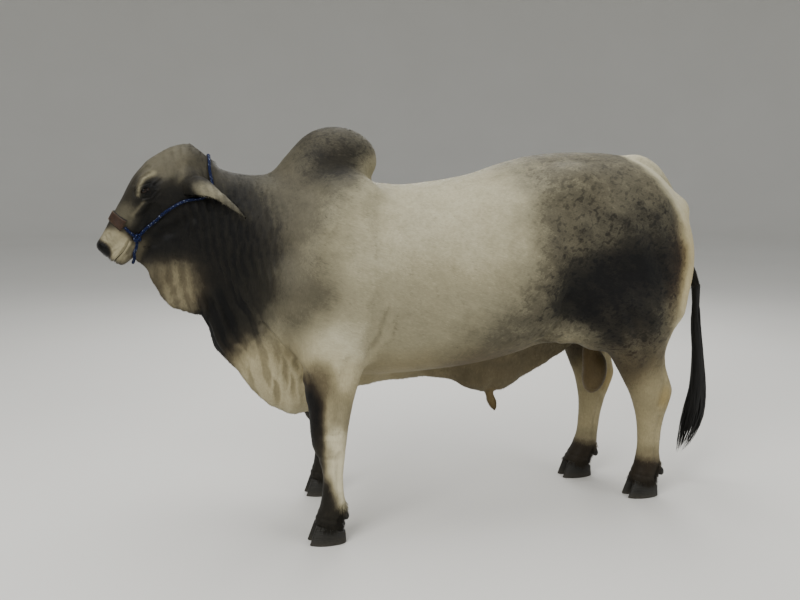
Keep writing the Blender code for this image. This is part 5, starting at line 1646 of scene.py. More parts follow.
@dataclass(frozen=True)
class Growth:
    """One piece of the coat.

    It holds how many tufts grow, their length and half-width in metres, the angle in degrees that
    they stand off the skin, how far their tips hang as a share of their length, and where they root.
    """

    name: str
    count: int
    length: float
    half: float
    lift: float
    where: Callable[[Array, Array], Array]
    hang: float = 0.0
    rows: int = 1
    fan: float = 11.0

    def faces(self) -> Array:
        """The triangles of one tuft: a fan at each end, and two for each side between two rings."""
        pairs = [(k, (k + 1) % 3) for k in range(3)]
        last = 3 * self.rows - 2
        faces = [(0, 1 + b, 1 + a) for a, b in pairs]
        faces += [(last + 3, last + a, last + b) for a, b in pairs]
        for low in range(1, last, 3):
            faces += [(low + a, low + b, low + 3 + b) for a, b in pairs]
            faces += [(low + a, low + 3 + b, low + 3 + a) for a, b in pairs]
        return np.array(faces)


GROWTHS = (
    Growth("coat_neck", 32000, 0.013, 0.0014, 3.5, Region.neck),
    Growth("coat_shoulders", 33000, 0.016, 0.0018, 3.0, Region.shoulder),
    Growth("coat_hindquarters", 33000, 0.016, 0.0018, 3.0, Region.rump),
    Growth("coat_legs", 32000, 0.012, 0.0013, 5.0, Region.leg),
    Growth("coat_head", 33000, 0.0075, 0.0009, 6.0, Region.head),
    Growth("coat_ears", 14000, 0.010, 0.0010, 6.0, Region.ear),
    Growth("coat_crest", 12000, 0.014, 0.0012, 7.0, Region.crest),
    Growth("coat_fringe", 5000, 0.013, 0.0009, 9.0, Region.fringe, 0.15, 3, 16.0),
    Growth("coat_ear_rims", 1400, 0.014, 0.0006, 13.0, Region.rim, 0.08, 3, 16.0),
    Growth("coat_feet", 5200, 0.024, 0.0012, 24.0, Region.foot, 0.10, 2, 14.0),
    Growth("coat_tail", 5200, 0.030, 0.0014, 7.0, Region.tail, 0.05, 2, 9.0),
    Growth("coat_lashes", 90, 0.013, 0.00035, 55.0, Region.lash, 0.30, 3, 12.0),
)


@dataclass
class Coat:
    """The tufts that break the short coat's surface, rooted all over the skin."""

    skin: Object
    seed: int = 29
    # The hollow value is the painted shade of the skin's wrinkles, carried over to the tufts.
    values: tuple = ("tone", "warmth", "bare", "upright", "facial", "hollow", "dapple")
    root_depth: float = 0.0009
    crown: float = 0.45
    swirl: float = 0.30
    swirl_size: float = 0.10
    # Half the width and the length of a tuft on the unwrap, and each part's frame there: the trunk,
    # the head, the near foreleg, the tail, the left ear, the near hind leg, the far legs, the right ear
    bake_half: float = 0.0015
    bake_length: float = 0.003
    frames: tuple = (
        (0.01, 0.51, 0.98, 0.48), (0.01, 0.01, 0.33, 0.48), (0.35, 0.01, 0.15, 0.30),
        (0.35, 0.33, 0.30, 0.15), (0.67, 0.33, 0.15, 0.15), (0.51, 0.01, 0.15, 0.30),
        (0.67, 0.01, 0.15, 0.30), (0.83, 0.01, 0.15, 0.30), (0.83, 0.33, 0.15, 0.15),
    )

    def __post_init__(self) -> None:
        """Reads the skin's triangles, its outward directions and its coat values."""
        mesh = self.skin.data
        mesh.calc_loop_triangles()
        corners = np.empty(3 * len(mesh.loop_triangles), np.int32)
        mesh.loop_triangles.foreach_get("vertices", corners)
        self.corners = corners.reshape(-1, 3)
        self.points = mesh_points(self.skin)
        outward = np.empty(3 * len(mesh.vertices), np.float32)
        mesh.vertices.foreach_get("normal", outward)
        self.outward = outward.reshape(-1, 3).astype(float)
        self.marks = {}
        for word in self.values:
            read = np.empty(len(mesh.vertices), np.float32)
            mesh.attributes[word].data.foreach_get("value", read)
            self.marks[word] = read
        a, b, c = (self.points[self.corners[:, k]] for k in range(3))
        self.area = np.linalg.norm(np.cross(b - a, c - a), axis=1) / 2
        self.middles = unsheared((a + b + c) / 3)
        self.facing = self.outward[self.corners].mean(1)

    @staticmethod
    def lie(places: Array, outward: Array) -> Array:
        """The way the hair lies: back along the trunk, down the neck, rump and legs, down the face."""
        down, _, back = Axes.HEAD.read(places)
        x, y, z = places.T
        way = np.zeros_like(places) + (0.90, 0.0, -0.36)

        def turn_to(share: Array, goal: Array) -> None:
            """Turns the way to a goal by a share."""
            way[:] = way + share[:, None] * (goal - way)

        turn_to(1 - smooth(-0.22, 0.08, x), np.array((0.40, 0.0, -0.88)))
        turn_to(np.maximum(1 - smooth(0.58, 0.85, z), smooth(1.30, 1.60, x)), np.array((0.12, 0.0, -1.0)))
        cheek = np.stack((np.ones(len(x)), 0 * x, 0.65 * smooth(0.03, 0.12, back)), 1) @ HEAD_AXES.T
        turn_to(((down > -0.02) & (down < 0.58) & (back < 0.20)).astype(float), cheek)
        turn_to(Region.ear(places), np.stack((0.60 + 0 * x, 0.35 * np.sign(y), -0.72 + 0 * x), 1))
        way -= (way * outward).sum(1, keepdims=True) * outward
        return way / np.maximum(np.linalg.norm(way, axis=1, keepdims=True), 0.05)

    def unwrap(self, places: Array) -> Array:
        """Places on an unwrap of the skin, whose trunk, head, legs, tail and ears have a frame each.

        Formula: in each frame the way along the part and the angle round its middle line run from 0 to 1.
        """
        x, y, z = places.T
        down, across, back = Axes.HEAD.read(places)
        near = np.zeros((len(x), 3))
        label = np.zeros(len(x), int)
        along, high, wide = (x + 0.76) / 2.65, 1.05 - z, y
        leg_x, leg_y = np.where(x < 0.5, 0.0, 1.43), np.where(x < 0.5, FORE_SPREAD, HIND_SPREAD)
        picks = (
            (Region.head(places, near) > 0, down / 0.56, 0.09 - back, across),
            (Region.leg(places, near) > 0, z / 0.66, x - leg_x, np.abs(y) - leg_y),
            (Region.tail(places, near) > 0, z / 1.35, x - 1.75, y),
            (Region.ear(places) > 0, (1.55 - z) / 0.30, np.abs(y) - 0.17, x + 0.5 - 0.7 * (1.55 - z)),
        )
        for number, (inside, far, first, second) in enumerate(picks, 1):
            label[inside] = number
            along, high, wide = (np.where(inside, new, old) for new, old in
                                 ((far, along), (first, high), (second, wide)))
        label[(label == 2) & (x > 0.5)] = 5
        label = np.where((y > 0) & (label == 2), 6, np.where((y > 0) & (label == 5), 7, label))
        label[(y > 0) & (label == 4)] = 8
        frames = np.array(self.frames)[label]
        flat = np.stack((np.clip(along, 0, 1), np.arctan2(wide, high) / (2 * math.pi) + 0.5), 1)
        return frames[:, :2] + frames[:, 2:] * flat

    def roots(self, growth: Growth, chance: np.random.Generator) -> tuple[Array, Array]:
        """Picks where a growth's tufts root.

        Formula: a triangle's chance is its area times the growth's share there. Two random shares,
        folded back where their sum is more than one, place the root evenly on the triangle.

        Args:
            growth: where the tufts root and how many there are.
            chance: the source of random numbers.

        Returns:
            The three corners of each root's triangle, and the root's share of each.
        """
        weight = self.area * growth.where(self.middles, self.facing)
        chosen = chance.choice(len(weight), growth.count, p=weight / weight.sum())
        share = chance.random((growth.count, 2))
        share = np.where(share.sum(1, keepdims=True) > 1, 1 - share, share)
        return self.corners[chosen], np.column_stack((1 - share.sum(1), share))

    def grow(self, growth: Growth) -> Object:
        """Makes one piece of the coat.

        Formula: a tuft is a closed sliver: a point, rings of a left, a right and a crown corner, and
        a point. Its half-width follows a sine of the way along it, and its tip hangs by the square
        of that way.

        Args:
            growth: where the tufts root, how many there are, and their sizes.

        Returns:
            The piece, with the skin's coat values at its roots, a grain of its own and the OFBake map.
        """
        chance = np.random.default_rng(self.seed + GROWTHS.index(growth))
        mixed, share = self.roots(growth, chance)
        root = (self.points[mixed] * share[..., None]).sum(1)
        outward = unit((self.outward[mixed] * share[..., None]).sum(1))
        place = unsheared(root)
        way = self.lie(place, outward)
        swing = np.radians(growth.fan) * chance.standard_normal(growth.count)
        swing = (swing + self.swirl * noise(place, self.swirl_size, 3))[:, None]
        way = way * np.cos(swing) + np.cross(outward, way) * np.sin(swing)
        side = np.cross(outward, way)
        length = growth.length * chance.uniform(0.6, 1.25, growth.count)[:, None]
        half = growth.half * chance.uniform(0.7, 1.3, growth.count)[:, None]
        lift = np.radians(growth.lift * chance.uniform(0.4, 1.5, growth.count))[:, None]
        ahead = way * np.cos(lift) + outward * np.sin(lift)
        start = root - self.root_depth * outward

        def along(step: float) -> Array:
            """The tufts' middle places at a share of their length."""
            return start + length * step * ahead - np.array((0, 0, 1.0)) * growth.hang * length * step**2

        parts, flat = [start], [(0.0, 0.0)]
        for step in np.linspace(0, 1, growth.rows + 2)[1:-1] * 0.9:
            thick = half * math.sin(math.pi * (0.12 + 0.80 * step))
            middle = along(step)
            parts += [middle - thick * side, middle + thick * side, middle + self.crown * thick * outward]
            flat += [(across, self.bake_length * step) for across in (-self.bake_half, self.bake_half, 0.0)]
        points = np.stack(parts + [along(1.0)], 1)
        flat.append((0.0, self.bake_length))
        stride = points.shape[1]
        every = (np.arange(growth.count)[:, None, None] * stride + growth.faces()).reshape(-1, 3)
        mesh = bpy.data.meshes.new(growth.name)
        mesh.vertices.add(points.size // 3)
        mesh.vertices.foreach_set("co", points.astype(np.float32).ravel())
        mesh.loops.add(every.size)
        mesh.loops.foreach_set("vertex_index", every.astype(np.int32).ravel())
        mesh.polygons.add(len(every))
        mesh.polygons.foreach_set("loop_start", np.arange(0, every.size, 3, dtype=np.int32))
        mesh.update(calc_edges=True)
        item = link(growth.name, mesh)
        spots = (self.unwrap(place)[:, None] + np.array(flat)).reshape(-1, 2)
        layer = mesh.uv_layers.new(name="OFBake")
        layer.data.foreach_set("uv", spots[every.ravel()].astype(np.float32).ravel())
        marks = {word: (values[mixed] * share).sum(1) for word, values in self.marks.items()}
        marks["grain"] = chance.uniform(-1.0, 1.0, growth.count)
        for word, values in marks.items():
            store(item, word, np.repeat(values, stride))
        mesh.shade_smooth()
        mesh.normals_split_custom_set_from_vertices(np.repeat(outward, stride, axis=0).astype(np.float32))
        return item


@dataclass(frozen=True)
class Eye:
    """An eyeball with the bulge of its cornea. It looks outwards, a little forwards."""

    name: str
    side: int
    rows: int = 48
    columns: int = 64

    def build(self) -> Object:
        """Makes the eyeball, with the attributes that its pupil, iris and white are drawn from.

        Formula: a sphere by the angle from the gaze, with a bell of 1 mm added round the gaze.
        The pupil's gauge is the length of the angle's two parts, the level one divided by more.
        """
        middle = head_point(EYE_PLACE[0], self.side * EYE_PLACE[1], EYE_PLACE[2])
        gaze = unit(np.array((-0.30, self.side * 1.0, -0.04)))
        level = unit(np.cross(gaze, (0, 0, 1.0)))
        rise = np.cross(level, gaze)
        angle = np.linspace(0.015, math.pi - 0.015, self.rows)[:, None]
        turn = round_turn(self.columns)
        reach = EYE_RADIUS + 0.0009 * np.exp(-((angle / 0.42) ** 2))
        parts = (np.cos(angle) + 0 * turn, np.sin(angle) * np.cos(turn), np.sin(angle) * np.sin(turn))
        shape = sum(part[..., None] * axis for part, axis in zip(parts, (gaze, level, rise)))
        item = closed_form(self.name, middle + reach[..., None] * shape)
        store(item, "ball_angle", angle + 0 * turn)
        store(item, "pupil", np.hypot(angle * np.cos(turn) / 0.30, angle * np.sin(turn) / 0.17))
        shade_smooth(item)
        return item


@dataclass(frozen=True)
class Switch:
    """The long black hair at the tail's end: many flat, tapered strands over the end of the tail."""

    count: int = 360
    rows: int = 16
    seed: int = 11

    @staticmethod
    def section(height: Array) -> tuple[Array, Array]:
        """The middle and half-width of the long hair at a height."""
        heights = (0.10, 0.19, 0.30, 0.45, 0.62, 0.72, SWITCH_TOP)
        middles = (1.722, 1.765, 1.797, 1.814, 1.802, 1.788, 1.772)
        halves = (0.010, 0.046, 0.060, 0.045, 0.032, 0.030, 0.019)
        return curve(height, heights, middles), curve(height, heights, halves)

    def strand(self, number: int, chance: np.random.Generator) -> Array:
        """One strand's rings: it leaves the tail low, swings out, waves and ends in a point.

        Formula: a place on the hair's outline at a share of its half-width, turned by sines of the
        way down, with a flat elliptic section that narrows to the tip.
        """
        step = np.linspace(0, 1, self.rows)
        start = SWITCH_TOP - 0.005 - 0.40 * (number / self.count) ** 1.3
        end = chance.uniform(0.115, 0.26) if chance.random() < 0.55 else chance.uniform(0.22, 0.52)
        height = start + (end - start) * step
        middle, spread = self.section(height)
        share = 0.35 + 0.62 * math.sqrt(chance.random())
        out = np.maximum(spread * share - 0.004, 0.004) * np.minimum(1.0, step * 4 + 0.3)
        wave = 0.22 * np.sin(chance.uniform(4, 7) * step + number) + chance.uniform(-0.3, 0.3) * step
        angle = number * 2.4 + wave
        outward = np.stack((np.cos(angle), 0.85 * np.sin(angle), 0 * angle), 1)
        sideways = np.stack((-np.sin(angle), np.cos(angle), 0 * angle), 1)
        place = np.stack((middle, 0 * height, height), 1) + out[:, None] * outward
        size = np.sin(math.pi * np.clip(0.22 + 0.78 * step, 0, 1)) ** 0.7 + 0.03
        half = chance.uniform(0.0020, 0.0052) * size
        thick = 0.0014 * size
        turn = round_turn(6)[..., None]
        return (place[:, None] + half[:, None, None] * np.cos(turn) * sideways[:, None]
                + thick[:, None, None] * np.sin(turn) * outward[:, None])

    def build(self) -> Object:
        """Makes the long hair as one joined mesh."""
        chance = np.random.default_rng(self.seed)
        net = Net()
        step = np.linspace(0, 1, 12)[:, None]
        height = SWITCH_TOP + 0.001 - 0.42 * step
        middle, _ = self.section(height)
        radius = 0.0205 * (1 - 0.75 * step)
        turn = round_turn(24)
        core = Axes.BODY.place(middle + radius * np.cos(turn), radius * np.sin(turn), height)
        net.add_rings(core)
        for number in range(self.count):
            net.add_rings(self.strand(number, chance))
        item = link("tail_hair", net.mesh("tail_hair"))
        shade_smooth(item, 80)
        return item


def mirrored(route: Sequence[tuple]) -> Array:
    """A route from the left side, over the middle and down the right side."""
    return np.array(list(route) + [(down, -across, back) for down, across, back in reversed(route)])


@dataclass
class Halter:
    """The halter: braided ropes over nape, cheeks and chin, two knots and a stitched leather noseband."""

    body: Body
    junction: tuple = (0.388, -0.072, 0.079)
    braid_pitch: float = 0.016
    row_length: float = 0.0022
    columns: int = 26

    def route(self, places: Array, lift: float) -> Array:
        """Even points of a route in the head's directions, settled at a height above the skin."""
        line = Axes.HEAD.place(*places.T)
        reach = reach_along(line)
        even = np.linspace(0, reach[-1], max(4, round(reach[-1] / 0.02)))
        laid = self.body.settle(np.stack([curve(even, reach, line[:, k]) for k in range(3)], 1), lift)
        reach = reach_along(laid)
        fine = np.linspace(0, reach[-1], max(12, round(reach[-1] / self.row_length)))
        return np.stack([curve(fine, reach, laid[:, k]) for k in range(3)], 1)

    def rope(self, name: str, line: Array, radius: float = ROPE_RADIUS) -> Object:
        """A round braid along a line.

        Formula: the radius rises and falls by the product of two sines that wind opposite ways
        round the rope, four strands each, one pitch apart along it.
        """
        ahead = unit(np.gradient(line, axis=0))
        across = np.cross(ahead, (0.0, 1.0, 0.0))
        weak = np.linalg.norm(across, axis=1) < 0.35
        across[weak] = np.cross(ahead[weak], (0.0, 0.0, 1.0))
        for k in range(1, len(across)):
            across[k] = unit(across[k - 1] - across[k - 1].dot(ahead[k]) * ahead[k])
        across[0] = unit(across[0])
        aside = np.cross(ahead, across)
        turn = round_turn(self.columns)
        phase = 2 * math.pi * reach_along(line)[:, None] / self.braid_pitch
        strand = np.abs(np.sin(2 * turn + phase / 2)) * np.abs(np.sin(2 * turn - phase / 2))
        bulge = radius * (0.90 + 0.16 * np.sqrt(strand))
        rings = (line[:, None] + (bulge * np.cos(turn))[..., None] * across[:, None]
                 + (bulge * np.sin(turn))[..., None] * aside[:, None])
        item = closed_form(name, rings)
        store(item, "strand", strand)
        shade_smooth(item, 80)
        return item

    def knot(self, name: str, side: int) -> Object:
        """A knot of the rope: the closed line sin t + 2 sin 2t, cos t - 2 cos 2t, -sin 3t."""
        place = Axes.HEAD.place(*np.array([(self.junction[0], -side * self.junction[1], self.junction[2])]).T)
        middle = self.body.settle(place, KNOT_RADIUS * 0.6)
        outward = self.body.normals(middle)[0]
        first = unit(np.cross(outward, (0.0, 0.0, 1.0)))
        second = np.cross(outward, first)
        turn = np.linspace(0, 2 * math.pi, 110)[:, None]
        size = 0.0036
        line = (middle + size * (np.sin(turn) + 2 * np.sin(2 * turn)) * first
                + 1.15 * size * (np.cos(turn) - 2 * np.cos(2 * turn)) * second
                - 1.1 * size * np.sin(3 * turn) * outward)
        return self.rope(name, line, 0.0052)

    def strap_lines(self, offset: float, turn: Array, lift: float) -> Array:
        """A line round the nose at a place across the strap and a height above the skin."""
        down = 0.386 + offset
        route = Axes.HEAD.place(down, 0.090 * np.sin(turn), 0.022 - 0.085 * np.cos(turn))
        return self.body.settle(route, lift)

    def noseband(self) -> list[Object]:
        """The leather strap, with rounded edges, a creased line along each, and rows of stitches.

        Formula: a section carried round the nose. Its height is the strap's thickness, drawn in
        at both edges by the root of 1 - s^8, with two narrow bells taken out for the creases.
        """
        turn = np.radians(np.linspace(-82, 82, 150))
        spread = np.linspace(-1, 1, 41)
        low, high = (np.stack([self.strap_lines(s * STRAP_WIDTH / 2, turn, lift) for s in spread[::8]])
                     for lift in (-0.001, STRAP_THICKNESS))
        coarse = np.linspace(-1, 1, len(low))
        row = np.clip((spread + 1) / 2 * (len(coarse) - 1), 0, len(coarse) - 1.001)
        first = row.astype(int)
        part = (row - first)[:, None, None]
        base, top = (lines[first] * (1 - part) + lines[first + 1] * part for lines in (low, high))
        share = np.sqrt(np.clip(1 - spread**8, 0.05, 1))
        share -= 0.10 * np.exp(-(((np.abs(spread) - 0.88) / 0.03) ** 2))
        outer = base + (top - base) * share[:, None, None]
        band = closed_form("noseband", np.concatenate((outer, base[::-1])).transpose(1, 0, 2))
        store(band, "edge", np.tile(np.concatenate((np.abs(spread), np.abs(spread[::-1]))), len(turn)))
        shade_smooth(band, 60)
        return [band, self.stitches(outer)]

    @staticmethod
    def stitches(outer: Array) -> Object:
        """Rows of short thread stitches, one along each edge of the strap."""
        net = Net()
        for row in (4, -5):
            line = outer[row]
            for start in range(3, len(line) - 4, 3):
                ends = np.stack((line[start], (line[start] + line[start + 1]) / 2, line[start + 1]))
                ahead = unit(ends[2] - ends[0])
                outward = line[start] - (outer[10][start] + outer[-11][start]) / 2
                across = unit(outward - outward.dot(ahead) * ahead)
                up = np.cross(ahead, across)
                up *= np.sign(up.dot(outer[20][start] - outer[20].mean(0)))
                radii = np.array((0.0003, 0.0007, 0.0003))[:, None, None]
                turn = round_turn(8)[..., None]
                lift = np.array((-0.0002, 0.0004, -0.0002))[:, None, None] * up
                net.add_rings(ends[:, None] + lift + radii * (np.cos(turn) * across + np.sin(turn) * up))
        item = link("noseband_stitches", net.mesh("noseband_stitches"))
        shade_smooth(item, 80)
        return item

    def build(self) -> list[tuple]:
        """Makes the halter.

        Returns:
            Each piece with the names of the solids it stands for and its finish.
        """
        lift = ROPE_RADIUS - 0.0012
        cheek = (self.junction, (0.318, -0.085, 0.082), (0.262, -0.098, 0.092), (0.205, -0.108, 0.106),
                 (0.160, -0.118, 0.128), (0.110, -0.118, 0.170), (0.048, -0.112, 0.160),
                 (0.010, -0.084, 0.116), (-0.010, -0.040, 0.090))
        chin = (self.junction, (0.418, -0.062, 0.100), (0.446, -0.045, 0.110), (0.462, -0.020, 0.116))
        whole = (("headstall", cheek, "halter_headstall"), ("chin_rope", chin, "halter_rope_chin"))
        pieces = [(self.rope(name, self.route(mirrored(line), lift)), (node,), BRAID)
                  for name, line, node in whole]
        for word, side in SIDES:
            nose = np.array(((0.386, side * 0.090, 0.020), (0.387, side * 0.082, 0.050),
                             (self.junction[0], side * 0.072, self.junction[2])))
            rope = self.rope(f"nose_rope_{word}", self.route(nose, lift + 0.002))
            pieces.append((rope, (f"halter_rope_nose_{word}",), BRAID))
            pieces.append((self.knot(f"knot_{word}", side), (f"halter_knot_{word}",), BRAID))
        band, stitches = self.noseband()
        return pieces + [(band, ("halter_noseband",), LEATHER), (stitches, (), THREAD)]


def hex_linear(code: str) -> tuple[float, float, float, float]:
    """An sRGB hex colour as linear light: c / 12.92, or ((c + 0.055) / 1.055)^2.4 above 0.04045."""
    values = [int(code[k:k + 2], 16) / 255 for k in (1, 3, 5)]
    return (*[v / 12.92 if v <= 0.04045 else ((v + 0.055) / 1.055) ** 2.4 for v in values], 1.0)


def add_node(tree: NodeTree, kind: str, links: dict | None = None, **settings: object) -> Node:
    """Adds a shader node.

    Args:
        tree: the node tree.
        kind: the node's type without its prefix.
        links: for an input's name or number, a socket to join to it or a value to set.
        settings: the node's own properties.

    Returns:
        The new node.
    """
    node = tree.nodes.new("ShaderNode" + kind)
    for name, value in settings.items():
        setattr(node, name, value)
    for key, value in (links or {}).items():
        if isinstance(value, NodeSocket):
            tree.links.new(value, node.inputs[key])
        else:
            node.inputs[key].default_value = value
    return node


class Palette:
    """The node tree of one material, with short ways to the parts that the finishes share."""

    def __init__(self, name: str, **constants: float | tuple) -> None:
        """Starts a material whose Principled shader has these constants."""
        self.material = bpy.data.materials.new(name)
        self.material.use_nodes = True
        self.tree = self.material.node_tree
        self.shader = self.tree.nodes["Principled BSDF"]
        for key, value in constants.items():
            self.shader.inputs[key.replace("_", " ")].default_value = value
        self.places = add_node(self.tree, "TexCoord").outputs["Object"]

    def attribute(self, name: str) -> NodeSocket:
        """A value stored on the mesh."""
        return add_node(self.tree, "Attribute", attribute_name=name).outputs["Fac"]

    def maths(self, operation: str, *values: NodeSocket | float, clamp: bool = False) -> NodeSocket:
        """The result of a sum on one, two or three values."""
        links = dict(enumerate(values))
        return add_node(self.tree, "Math", links, operation=operation, use_clamp=clamp).outputs[0]

    def stretched(self, turn: float, size: tuple) -> NodeSocket:
        """Object coordinates turned in the side view by degrees and divided by a size in metres."""
        angle = (0.0, math.radians(turn), 0.0)
        first = add_node(self.tree, "Mapping", {"Vector": self.places, "Rotation": angle})
        scale = tuple(1 / length for length in size)
        return add_node(self.tree, "Mapping", {"Vector": first.outputs[0], "Scale": scale}).outputs[0]

    def noise(self, size: float, detail: float = 3.0, places: NodeSocket | None = None,
              rough: float = 0.55) -> NodeSocket:
        """Noise from 0 to 1 whose largest grains are about the size, in metres."""
        links = {"Vector": places or self.places, "Scale": 1 / size, "Detail": detail, "Roughness": rough}
        return add_node(self.tree, "TexNoise", links).outputs[0]

    def cells(self, size: float) -> NodeSocket:
        """The distance in a net of cells of the size, in metres."""
        return add_node(self.tree, "TexVoronoi", {"Scale": 1 / size}, feature="F1").outputs["Distance"]

    def ramp(self, value: NodeSocket, stops: Sequence[tuple[float, str]]) -> NodeSocket:
        """Colours along a value, from sRGB hex stops."""
        node = add_node(self.tree, "ValToRGB", {0: value})
        elements = node.color_ramp.elements
        while len(elements) < len(stops):
            elements.new(0.5)
        for element, (place, code) in zip(elements, stops):
            element.position = place
            element.color = hex_linear(code)
        return node.outputs[0]

    def mix(self, share: NodeSocket | float, first: object, second: object) -> NodeSocket:
        """Two colours mixed by a share."""
        return add_node(self.tree, "Mix", {"Factor": share, 6: first, 7: second}, data_type="RGBA").outputs[2]

    def bump(self, *layers: tuple[NodeSocket, float, float]) -> None:
        """Stacks bumps on the shader, each a height, a strength and a depth in metres."""
        normal = None
        for height, strength, depth in layers:
            links = {"Height": height, "Strength": strength, "Distance": depth}
            if normal:
                links["Normal"] = normal
            normal = add_node(self.tree, "Bump", links).outputs[0]
        self.join(normal, "Normal")

    def join(self, socket: NodeSocket, entry: str) -> None:
        """Joins a value to an entry of the shader."""
        self.tree.links.new(socket, self.shader.inputs[entry])


@dataclass(frozen=True)
class Hide:
    """A short, dense, flat-lying coat on loose skin: hairs about 12 mm long and 0.06 mm thick.

    It gives a soft sheen along the lie and a fine broken grain. The hairs are drawn as streaks
    2.5 mm apart, far coarser than the real ones, so that they show. The greys are the coat's tone
    and the tans its warmth, both stored on the mesh, as is the bare skin of the nose. The tone also
    holds painted shade low on the barrel and painted light on the fold under the belly, the warmth
    holds painted warm light on the belly, and the hollows of the skin's wrinkles are darkened as
    painted shade.
    """

    name: str = "short_flat_coat"
    cold: tuple = ((0.0, "#C0BBA3"), (0.25, "#8A856E"), (0.5, "#545143"), (0.75, "#25241D"), (1.0, "#040404"))
    warm: tuple = ((0.0, "#C9B888"), (0.25, "#8E7E54"), (0.5, "#5E4D2D"), (0.75, "#302010"), (1.0, "#080604"))
    mottle: float = 0.32
    vein: float = 0.09
    streak: float = 0.14
    # How much the hollows of the skin's wrinkles are darkened: painted shade.
    fold: float = 0.16
    grain: float = 0.05

    def make(self) -> Material:
        """Makes the material."""
        p = Palette(self.name, Sheen_Weight=0.02, Sheen_Roughness=0.40, Specular_IOR_Level=0.16)
        tone, warmth, bare = [p.attribute(word) for word in ("tone", "warmth", "bare")]
        lies = p.attribute("upright")
        level = p.noise(1.0, 3.0, p.stretched(-20, (0.030, 0.004, 0.0035)))
        upright = p.noise(1.0, 3.0, p.stretched(0, (0.0035, 0.0035, 0.022)))
        face = p.noise(1.0, 3.0, p.stretched(-49.7, (0.016, 0.0028, 0.0028)))
        streak = p.mix(lies, level, upright)
        streak = p.maths("SUBTRACT", p.mix(p.attribute("facial"), streak, face), 0.5)
        smoky = p.maths("MULTIPLY", p.maths("MULTIPLY_ADD", tone, 2.4, -0.46, clamp=True),
                        p.maths("MULTIPLY_ADD", tone, -4.0, 4.45, clamp=True))
        smoky = p.maths("MULTIPLY", smoky, p.attribute("dapple"))
        cloud = p.maths("SUBTRACT", p.noise(1.0, 4.0, p.stretched(-30, (0.080, 0.06, 0.050)), 0.55), 0.5)
        weave = p.maths("SUBTRACT", p.noise(1.0, 3.0, p.stretched(35, (0.024, 0.016, 0.016)), 0.5), 0.5)
        veins = p.maths("SUBTRACT", 1.0, p.maths("MULTIPLY", p.maths("ABSOLUTE", weave), 9.0), clamp=True)
        shift = p.maths("MULTIPLY_ADD", p.maths("SUBTRACT", veins, 0.35), -self.vein,
                        p.maths("MULTIPLY", cloud, self.mottle))
        shift = p.maths("MULTIPLY", p.maths("MULTIPLY_ADD", weave, self.mottle, shift), smoky)
        shift = p.maths("MULTIPLY_ADD", streak, self.streak, shift)
        shift = p.maths("MULTIPLY_ADD", p.maths("SUBTRACT", p.noise(0.014, 3.0), 0.5), 0.10, shift)
        shift = p.maths("MULTIPLY_ADD", cloud, 0.10, shift)
        # Painted shade: the coat is darkened in the hollows of the skin's wrinkles.
        shift = p.maths("MULTIPLY_ADD", p.attribute("hollow"), self.fold, shift)
        shift = p.maths("MULTIPLY_ADD", p.attribute("grain"), self.grain, shift)
        shown = p.maths("ADD", tone, p.maths("MULTIPLY", shift, p.maths("SUBTRACT", 1.0, bare)), clamp=True)
        p.join(p.mix(warmth, p.ramp(shown, self.cold), p.ramp(shown, self.warm)), "Base Color")
        p.join(p.maths("MULTIPLY_ADD", bare, -0.30, p.maths("MULTIPLY_ADD", streak, 0.2, 0.62)), "Roughness")
        pores = p.maths("MULTIPLY", p.cells(0.0035), bare)
        p.bump((p.noise(0.030, 4.0), 0.35, 0.003), (p.maths("ADD", streak, pores), 0.45, 0.0016))
        return p.material


@dataclass(frozen=True)
class WetEye:
    """The eyeball of cattle: a level oval pupil in a dark brown iris, a brownish white, and a wet cornea.

    The cornea is a clear coat of IOR 1.376, which gives the sharp highlight.
    """

    name: str = "wet_eye"
    pupil: str = "#060607"

    def make(self) -> Material:
        """Makes the material."""
        p = Palette(self.name, Roughness=0.60, Specular_IOR_Level=0.1, Coat_Weight=0.35, Coat_Roughness=0.03,
                    Coat_IOR=1.376)
        fibres = p.noise(0.0012, 3.0)
        ring = p.maths("MULTIPLY_ADD", p.maths("SUBTRACT", fibres, 0.5), 0.08, p.attribute("ball_angle"))
        stops = ((0.10, "#160C06"), (0.34, "#1D1108"), (0.56, "#0C0705"), (0.68, "#080504"),
                 (0.80, "#1F1712"), (0.98, "#453A31"))
        edge = p.maths("SUBTRACT", p.attribute("pupil"), 0.96)
        inside = p.maths("SUBTRACT", 1.0, p.maths("MULTIPLY", edge, 12.0, clamp=True))
        p.join(p.mix(inside, p.ramp(ring, stops), hex_linear(self.pupil)), "Base Color")
        return p.material


@dataclass(frozen=True)
class Horn:
    """Black keratin of claws: level growth rings a few millimetres apart, dull above, scuffed at the sole."""

    name: str = "black_horn_keratin"
    dark: str = "#0B0B09"
    worn: str = "#3E3A31"

    def make(self) -> Material:
        """Makes the material."""
        p = Palette(self.name, Specular_IOR_Level=0.3)
        rings = p.noise(1.0, 4.0, p.stretched(0, (0.08, 0.08, 0.0035)))
        height = add_node(p.tree, "SeparateXYZ", {0: p.places}).outputs[2]
        low = p.maths("SUBTRACT", 1.0, p.maths("DIVIDE", height, 0.030, clamp=True), clamp=True)
        wear = p.maths("MULTIPLY", p.maths("ADD", low, 0.25), p.noise(0.012, 5.0), clamp=True)
        stops = ((0.30, self.dark), (0.70, "#1D1C18"))
        p.join(p.mix(wear, p.ramp(rings, stops), hex_linear(self.worn)), "Base Color")
        p.join(p.maths("MULTIPLY_ADD", wear, 0.30, 0.50), "Roughness")
        p.bump((rings, 0.6, 0.0012), (p.noise(0.004, 3.0), 0.2, 0.0006))
        return p.material


